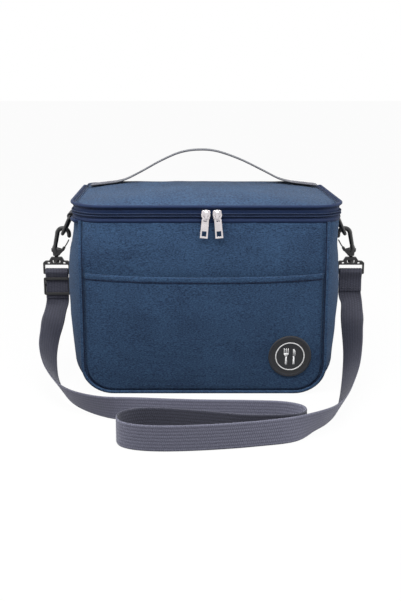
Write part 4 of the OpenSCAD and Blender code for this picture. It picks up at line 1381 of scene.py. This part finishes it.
def gate(side, label):
    """Thin sprung lever that bows between its pivot and the hook's tip."""
    gate_x, gate_z = STEM_X - 8.6 * MM, SHOULDER_Z + 1.6 * MM
    top_x, top_z = HOOK_X - HOOK_BEND + 0.5 * MM, TIP_Z - 1.4 * MM
    path = smooth_path([(gate_x, 0, gate_z), ((gate_x + top_x) / 2 - 0.4 * MM, 0, (gate_z + top_z) / 2),
                        (top_x, 0, top_z)], 10)
    rings = []
    for i, (p, t) in enumerate(zip(path, tangents(path))):
        flat = t.cross(Vector((0, 1, 0))).normalized()
        half_w = (2 - 0.5 * i / len(path)) * MM
        half_t = 0.65 * MM
        rings.append([p + Vector((0, half_w * c, 0)) + flat * half_t * d for c, d in
                      ((-1, -0.5), (-0.7, -1), (0.7, -1), (1, -0.5), (1, 0.5), (0.7, 1), (-0.7, 1),
                       (-1, 0.5))])
    lever = loft("lever", [flip_for(side, r) for r in rings])
    knuckle = lathe("knuckle",
                    [(0.01 * MM, -2 * MM), (1.3 * MM, -2 * MM), (1.6 * MM, -1.7 * MM), (1.6 * MM, 1.7 * MM),
                                (1.3 * MM, 2 * MM), (0.01 * MM, 2 * MM)],
                    facing_front(side * gate_x, 0, gate_z), sides=24)
    piece = join(label + "_gate_lever", [lever, knuckle], label + "_gate")
    finish_piece(piece, black_plastic, "black_plastic", label + "_gate")


FRAME_W = 29.6 * MM
SLOT_TOP, SLOT_LOW, BAR_LOW = 122 * MM, 115.5 * MM, 111.5 * MM
FRAME_T = 4.4 * MM


def swivel_frame(side, label):
    """Moulded frame: a slot for the webbing under a stepped crown that holds the swivel stem."""
    eye_top = STEM_Z - 1.4 * MM
    crown = [(-FRAME_W / 2, BAR_LOW), (FRAME_W / 2, BAR_LOW), (FRAME_W / 2, SLOT_TOP + 2.4 * MM),
             (FRAME_W / 2 - 2.6 * MM, SLOT_TOP + 4.2 * MM), (8.4 * MM, SLOT_TOP + 4.2 * MM),
             (5.8 * MM, eye_top),
             (-5.8 * MM, eye_top), (-8.4 * MM, SLOT_TOP + 4.2 * MM),
             (-FRAME_W / 2 + 2.6 * MM, SLOT_TOP + 4.2 * MM),
             (-FRAME_W / 2, SLOT_TOP + 2.4 * MM)]
    slot = rounded_outline(box_points(-WEB_W / 2 - 0.5 * MM, WEB_W / 2 + 0.5 * MM, SLOT_LOW, SLOT_TOP),
                           1 * MM)
    eye = rounded_outline(box_points(-4.2 * MM, 4.2 * MM, STEM_Z - 8.1 * MM, STEM_Z - 4.8 * MM), 0.7 * MM)
    vents = [rounded_outline(box_points(s * 8.6 * MM - 1.4 * MM, s * 8.6 * MM + 1.4 * MM, SLOT_TOP + 0.9 * MM,
                                        SLOT_TOP + 2.9 * MM), 0.8 * MM) for s in (-1, 1)]
    outer = rounded_outline(crown, 1.4 * MM)
    plate = plate_with_holes("plate", outer, [slot, eye] + vents, facing_front(side * STEM_X, 0, 0), FRAME_T,
                             0.6 * MM)
    piece = join(label + "_frame_moulding", [plate], label + "_clip")
    finish_piece(piece, black_plastic, "black_plastic", label + "_swivel_frame")


LOOP_Z = (SLOT_LOW + BAR_LOW) / 2


def strap_loop(side, label, low, strap_top):
    """Strap end folded round the frame's bar: its back layer runs on, the front one is sewn down."""
    fold_r = 2.8 * MM + WEB_T / 2
    back = [(0.0, strap_top), (0.75 * MM, strap_top + 5 * MM), (0.95 * MM, LOOP_Z - 9 * MM),
            (1.7 * MM, LOOP_Z - 5 * MM)]
    front = [(-1.7 * MM, LOOP_Z - 5 * MM), (-0.95 * MM, LOOP_Z - 9 * MM), (-1.3 * MM, low + 4 * MM),
             (-1.75 * MM, low - 1.5 * MM)]
    arc = [(fold_r * math.cos(a), LOOP_Z + fold_r * math.sin(a))
           for a in (math.pi * k / 12 for k in range(13))]
    path = smooth_path([(side * STEM_X, y, z) for y, z in back + arc + front], 4)
    piece = sweep_webbing(label + "_loop_webbing", path, [(1, 0, 0)] * len(path), 0, len(path) - 1,
                          label + "_clip")
    finish_piece(piece, strap_grey, "strap_webbing", label + "_strap_loop")
    rows = [stitches("loop_row",
                     [Vector((side * STEM_X - 11.5 * MM + 23 * MM * i / 12, y, z)) for i in range(13)],
                     (0, -1, 0), None, 1.9 * MM)
            for y, z in ((-2.5 * MM, low + 0.3 * MM), (-2.35 * MM, low + 2 * MM))]
    stitched = join(label + "_loop_stitching", rows, label + "_clip")
    finish_piece(stitched, thread_grey, "thread")


def adjuster():
    """Three-bar slider: two bars in front of the webbing and one behind it."""
    z0, w, h, t, bar = 98 * MM, 29 * MM, 20 * MM, 2.4 * MM, 3 * MM
    gap = WEB_T + 0.3 * MM
    rail = (w - WEB_W - 0.8 * MM) / 2
    x0 = -STEM_X
    outer = rounded_outline(box_points(-w / 2, w / 2, z0 - h / 2, z0 + h / 2), 2.2 * MM)
    inner = rounded_outline(box_points(-w / 2 + rail, w / 2 - rail, z0 - h / 2 + bar, z0 + h / 2 - bar),
                            1 * MM)
    face = plate_with_holes("face", outer, [inner], facing_front(x0, -gap - t / 2, 0), t, 0.6 * MM)
    post = rounded_outline(box_points(-rail / 2, rail / 2, -h / 2 + 1.6 * MM, h / 2 - 1.6 * MM), 0.8 * MM)
    rails = [extrude_outline("rail", post, facing_front(x0 + s * (w - rail) / 2, 0.6 * MM, z0),
                             2 * gap + t + 0.6 * MM, 0.5 * MM) for s in (-1, 1)]
    back = tube("back",
                [Vector((x0 - w / 2 + 1 * MM + (w - 2 * MM) * k / 6, gap + t / 2, z0)) for k in range(7)],
                1.45 * MM, None, 12, up=(0, 1, 0))
    piece = join("adjuster_moulding", [face, back] + rails, "left_clip")
    finish_piece(piece, black_plastic, "black_plastic", "strap_adjuster")


LOOP_SEWN_Z = {-1: 86 * MM, 1: 94 * MM}
for side, label in ((-1, "left"), (1, "right")):
    ring_tab(side, label)
    d_ring(side, label)
    hook(side, label)
    gate(side, label)
    swivel_frame(side, label)
    strap_loop(side, label, LOOP_SEWN_Z[side], (strap_path[0] if side < 0 else strap_path[-1]).z)
adjuster()


# ---- Round rubber badge: a rimmed disc with a raised ring, a fork and a knife ----
BADGE_X, BADGE_Z, BADGE_R = 90 * MM, 42 * MM, 22.5 * MM
PRINT_R, PRINT_W, PRINT_T = 15.5 * MM, 1.2 * MM, 0.3 * MM


def on_badge(u, v, out):
    """A point of the badge at (u, v) from its middle, standing out from the pocket's cloth."""
    x, z = BADGE_X + u, BADGE_Z + v
    base = pocket_surface(x, z)
    return Vector((x, base.y - out, z))


def badge_disc():
    profile = [(0.001, 1.25), (0.55, 1.25), (0.84, 1.25), (0.875, 1.3), (0.895, 1.6), (0.95, 1.65),
               (0.985, 1.45),
               (1.0, 0.9), (1.0, 0.0), (0.9, -0.1), (0.001, -0.1)]
    sides = 72
    rings = [[on_badge(k * BADGE_R * math.cos(2 * math.pi * j / sides),
                       k * BADGE_R * math.sin(2 * math.pi * j / sides),
                       h * MM) for j in range(sides)] for k, h in profile]
    return finish_piece(loft("badge_disc", rings, "bag"), badge_rubber, "badge_rubber", "badge")


def print_ring():
    sides, base = 72, 1.2 * MM
    section = [(PRINT_R - PRINT_W, base), (PRINT_R - PRINT_W + 0.15 * MM, base + PRINT_T),
               (PRINT_R - 0.15 * MM, base + PRINT_T), (PRINT_R, base)]
    rings = [[on_badge(r * math.cos(2 * math.pi * j / sides), r * math.sin(2 * math.pi * j / sides), h)
              for r, h in section] for j in range(sides)]
    return new_object("ring", [p for ring in rings for p in ring], grid_faces(sides, 4, True, True))


def print_shape(name, shape):
    """A flat shape raised on the badge."""
    base = 1.2 * MM
    verts = [on_badge(u, v, base + h) for h in (0.0, PRINT_T) for u, v in shape]
    k = len(shape)
    faces = [tuple(range(k)), tuple(range(2 * k - 1, k - 1, -1))]
    faces += [(j, (j + 1) % k, k + (j + 1) % k, k + j) for j in range(k)]
    return new_object(name, verts, faces)


def cutlery():
    fork_x, knife_x, half_len = -4 * MM, 4 * MM, 9 * MM
    parts = []
    handle_shape = [(-0.8 * MM, 0), (-1.1 * MM, -half_len), (1.1 * MM, -half_len), (0.8 * MM, 0)]
    for x in (fork_x, knife_x):
        parts.append(print_shape("grip", [(x + u, v) for u, v in rounded_outline(handle_shape, 0.8 * MM)]))
    neck = rounded_outline([(-2.6 * MM, 2.6 * MM), (-0.8 * MM, -0.4 * MM), (0.8 * MM, -0.4 * MM),
                            (2.6 * MM, 2.6 * MM),
                            (2.6 * MM, 4 * MM), (-2.6 * MM, 4 * MM)], 0.6 * MM)
    parts.append(print_shape("fork_neck", [(fork_x + u, v) for u, v in neck]))
    for k in range(3):
        x = fork_x + (k - 1) * 2.05 * MM
        tine = rounded_outline(box_points(x - 0.55 * MM, x + 0.55 * MM, 3.7 * MM, half_len), 0.5 * MM)
        parts.append(print_shape("tine", tine))
    blade = rounded_outline([(-0.9 * MM, -0.4 * MM), (1.7 * MM, 0.8 * MM), (1.8 * MM, 6 * MM),
                             (-0.9 * MM, half_len)], 0.7 * MM)
    parts.append(print_shape("blade", [(knife_x + u, v) for u, v in blade]))
    return parts


badge_disc()
finish_piece(join("badge_motif", [print_ring()] + cutlery(), "bag"), badge_white, "badge_print",
             "badge_print")
BADGE_SEAM_R = 0.925 * BADGE_R
navy_row("badge_stitching", [on_badge(BADGE_SEAM_R * math.cos(a), BADGE_SEAM_R * math.sin(a), 1.62 * MM)
                             for a in (2 * math.pi * k / 120 for k in range(121))], (0, -1, 0), "bag",
         2.4 * MM, 0.2 * MM)


# ---- Inside: foil lining, its bound rim and the sealed foam ----
LINER_IN = 5.95 * MM
FOIL_Y = PANEL_Y - FOAM_T - 0.4 * MM


def liner_wrinkle(s, y):
    x, z, _, bulge = s
    return 0.5 * MM * ease(bulge / (8 * MM)) * puff((1 if x > 0 else -1, y, z), 24 * MM, 51)


def front_shift(x, z):
    """How far the rim's corner draws the front back at a point."""
    return rim_share(z) * (zip_front_y(x) - FRONT_Y)


liner_wall = wall_sheet("foil_wall", wall_line, FOIL_Y, LINER_IN, liner_wrinkle, outward=False)
finish_piece(liner_wall, foil, "foil", "foil_liner")
for sign, label in ((-1, "front"), (1, "back")):
    def foil_y(x, z):
        near = max(0.0, min(panel_half_at(z) - 6 * MM - abs(x), z - 6 * MM, BODY_H - z))
        soft = 0.6 * MM * ease(near / (20 * MM)) * (1 + puff((x, sign, z), 26 * MM, 53))
        return sign * (FOIL_Y - soft) + (front_shift(x, z) if sign < 0 else 0.0)

    sheet = panel_sheet(label + "_foil", foil_y, -sign, low_inset=6 * MM, rows=40, cols=60)
    finish_piece(sheet, foil, "foil", "foil_liner")


def rim_loop(inset):
    """Points round the rim, inset from the outer fabric."""
    count = 26
    front = [Vector((-PANEL_HALF_W + 2 * PANEL_HALF_W * i / 40, 0, 0)) for i in range(41)]
    front = [Vector((p.x * (1 - inset / PANEL_HALF_W), zip_front_y(p.x) + inset, 0)) for p in front]
    right = []
    for i in range(1, count):
        y = PANEL_Y * (2 * i / count - 1)
        station = (PANEL_HALF_W, BODY_H, 0.0, wall_bulge(BODY_H))
        right.append(wall_point(station, y * (1 - inset / BACK_Y), inset))
    back = [Vector((p.x, BACK_Y - inset, 0)) for p in reversed(front)]
    left = [Vector((-p.x, p.y, 0)) for p in reversed(right)]
    return [Vector((p.x, p.y, BODY_H)) for p in front + right + back + left]


BINDING_DROP = 3.5 * MM
BINDING_OUT, BINDING_IN = 1.6 * MM, 6.6 * MM
SLAB_T = FOAM_T - 0.3 * MM
SLAB_LOW, SLAB_TOP = 2.2 * MM, BODY_H - 1.5 * MM
SLAB_GAP = 0.2 * MM
outer_rim, inner_rim = rim_loop(BINDING_OUT), rim_loop(BINDING_IN)
binding_rings = []
for a, b in zip(outer_rim, inner_rim):
    across = b - a
    arch = [a + Vector((0, 0, -1.5 * MM))]
    arch += [a + across * (0.5 - 0.5 * math.cos(math.pi * k / 6))
             + Vector((0, 0, 1.1 * MM * math.sin(math.pi * k / 6)))
             for k in range(7)]
    arch += [b + Vector((0, 0, -BINDING_DROP)),
             b - across.normalized() * 0.4 * MM + Vector((0, 0, -BINDING_DROP))]
    binding_rings.append(arch)
rim_bind = new_object("rim_inner_binding", [p for r in binding_rings for p in r],
                      grid_faces(len(binding_rings), len(binding_rings[0]), wrap_rows=True, wrap_cols=True),
                      "bag")
run = lengths(outer_rim)
set_strip(rim_bind, [(u, 0, 0) for u in run for _ in binding_rings[0]])
finish_piece(rim_bind, navy_tape, "navy_binding")
front_foam = panel_sheet("front_foam_slab", lambda x, z: FRONT_Y + FABRIC_T + SLAB_GAP + front_shift(x, z),
                         -1, low_inset=SLAB_LOW, top=SLAB_TOP, rows=24, cols=40)
back_foam = panel_sheet("back_foam_slab", lambda x, z: BACK_Y - FABRIC_T - SLAB_GAP, 1, low_inset=SLAB_LOW,
                        top=SLAB_TOP, rows=24, cols=40)
wall_foam = wall_sheet("wall_foam_slab", wall_line, PANEL_Y - 5 * MM, FABRIC_T + SLAB_GAP, None)
lid_foam = lid_sheet("lid_foam_slab", LID_FOAM_DEPTH, 0.962, ripple=False)
for slab, thickness, node_name in ((front_foam, SLAB_T, "front_foam"), (back_foam, SLAB_T, "back_foam"),
                                   (wall_foam, SLAB_T, "gusset_foam"), (lid_foam, LID_FOAM_T, "lid_foam")):
    add_thickness(slab, thickness)
    finish_piece(slab, foam, "foam", node_name)


# ---- Floor, backdrop and light ----
FLOOR_GLOW = 0.955


def stage_material(name, seen, bounced):
    """Floor seen as white with the object's shadow, which bounces little light."""
    s = Shader(name, rough=0.9, specular=0.0)
    nodes, links = s.tree.nodes, s.tree.links
    path = s.node("LightPath").outputs
    direct = s.math("MAXIMUM", path["Is Camera Ray"], s.math("MAXIMUM", path["Is Glossy Ray"],
                                                              path["Is Transmission Ray"]))
    s.set("Base Color", s.blend(direct, bounced, seen))
    glow = s.node("Emission", (1.0, 1.0, 1.0, 1.0), 1.0)
    mix = s.node("MixShader")
    s.put(mix.inputs[0], s.math("MULTIPLY", direct, FLOOR_GLOW))
    links.new(s.bsdf.outputs[0], mix.inputs[1])
    links.new(glow.outputs[0], mix.inputs[2])
    links.new(mix.outputs[0], nodes["Material Output"].inputs["Surface"])
    return s.material


floor = new_object("floor", [(x, y, 0) for y in (-3.0, 6.0) for x in (-4.0, 4.0)], grid_faces(2, 2),
                   smooth=False)
floor.location.z = -0.2 * MM
floor.data.materials.append(stage_material("floor", (0.98, 0.98, 0.98, 1.0), (0.14, 0.14, 0.15, 1.0)))

world = bpy.data.worlds.new("studio")
bpy.context.scene.world = world
world.use_nodes = True
WORLD_LIGHT = 0.25
world_nodes, world_links = world.node_tree.nodes, world.node_tree.links
background = world_nodes["Background"]
background.inputs["Color"].default_value = (1.0, 1.0, 1.0, 1.0)
ray = world_nodes.new("ShaderNodeLightPath")
glossy = world_nodes.new("ShaderNodeMath")
glossy.operation = "MAXIMUM"
world_links.new(ray.outputs["Is Camera Ray"], glossy.inputs[0])
world_links.new(ray.outputs["Is Glossy Ray"], glossy.inputs[1])
seen = world_nodes.new("ShaderNodeMath")
seen.operation = "MAXIMUM"
world_links.new(glossy.outputs[0], seen.inputs[0])
world_links.new(ray.outputs["Is Transmission Ray"], seen.inputs[1])
level = world_nodes.new("ShaderNodeMapRange")
level.inputs["To Min"].default_value = WORLD_LIGHT
level.inputs["To Max"].default_value = 1.0
world_links.new(seen.outputs[0], level.inputs["Value"])
world_links.new(level.outputs[0], background.inputs["Strength"])


def area_light(name, place, target, size, power):
    data = bpy.data.lights.new(name, "AREA")
    data.shape = "RECTANGLE"
    data.size, data.size_y = size
    data.energy = power
    obj = bpy.data.objects.new(name, data)
    obj.location = place
    obj.rotation_euler = (Vector(target) - Vector(place)).to_track_quat("-Z", "Y").to_euler()
    bpy.context.scene.collection.objects.link(obj)


area_light("key", (-0.08, -0.36, 0.57), (0, -0.08, 0.15), (0.7, 0.25), 3.9)
area_light("fill", (0.9, -0.9, 0.8), (0, 0, 0.1), (0.8, 0.8), 1.4)
area_light("top", (0, 0.25, 1.1), (0, 0, 0.2), (1.0, 0.7), 2.7)
area_light("left", (-1.2, -0.2, 0.4), (0, 0, 0.12), (0.6, 0.6), 4.6)
area_light("right", (1.2, -0.2, 0.4), (0, 0, 0.12), (0.6, 0.6), 6.2)

bpy.context.scene.view_settings.view_transform = "Standard"
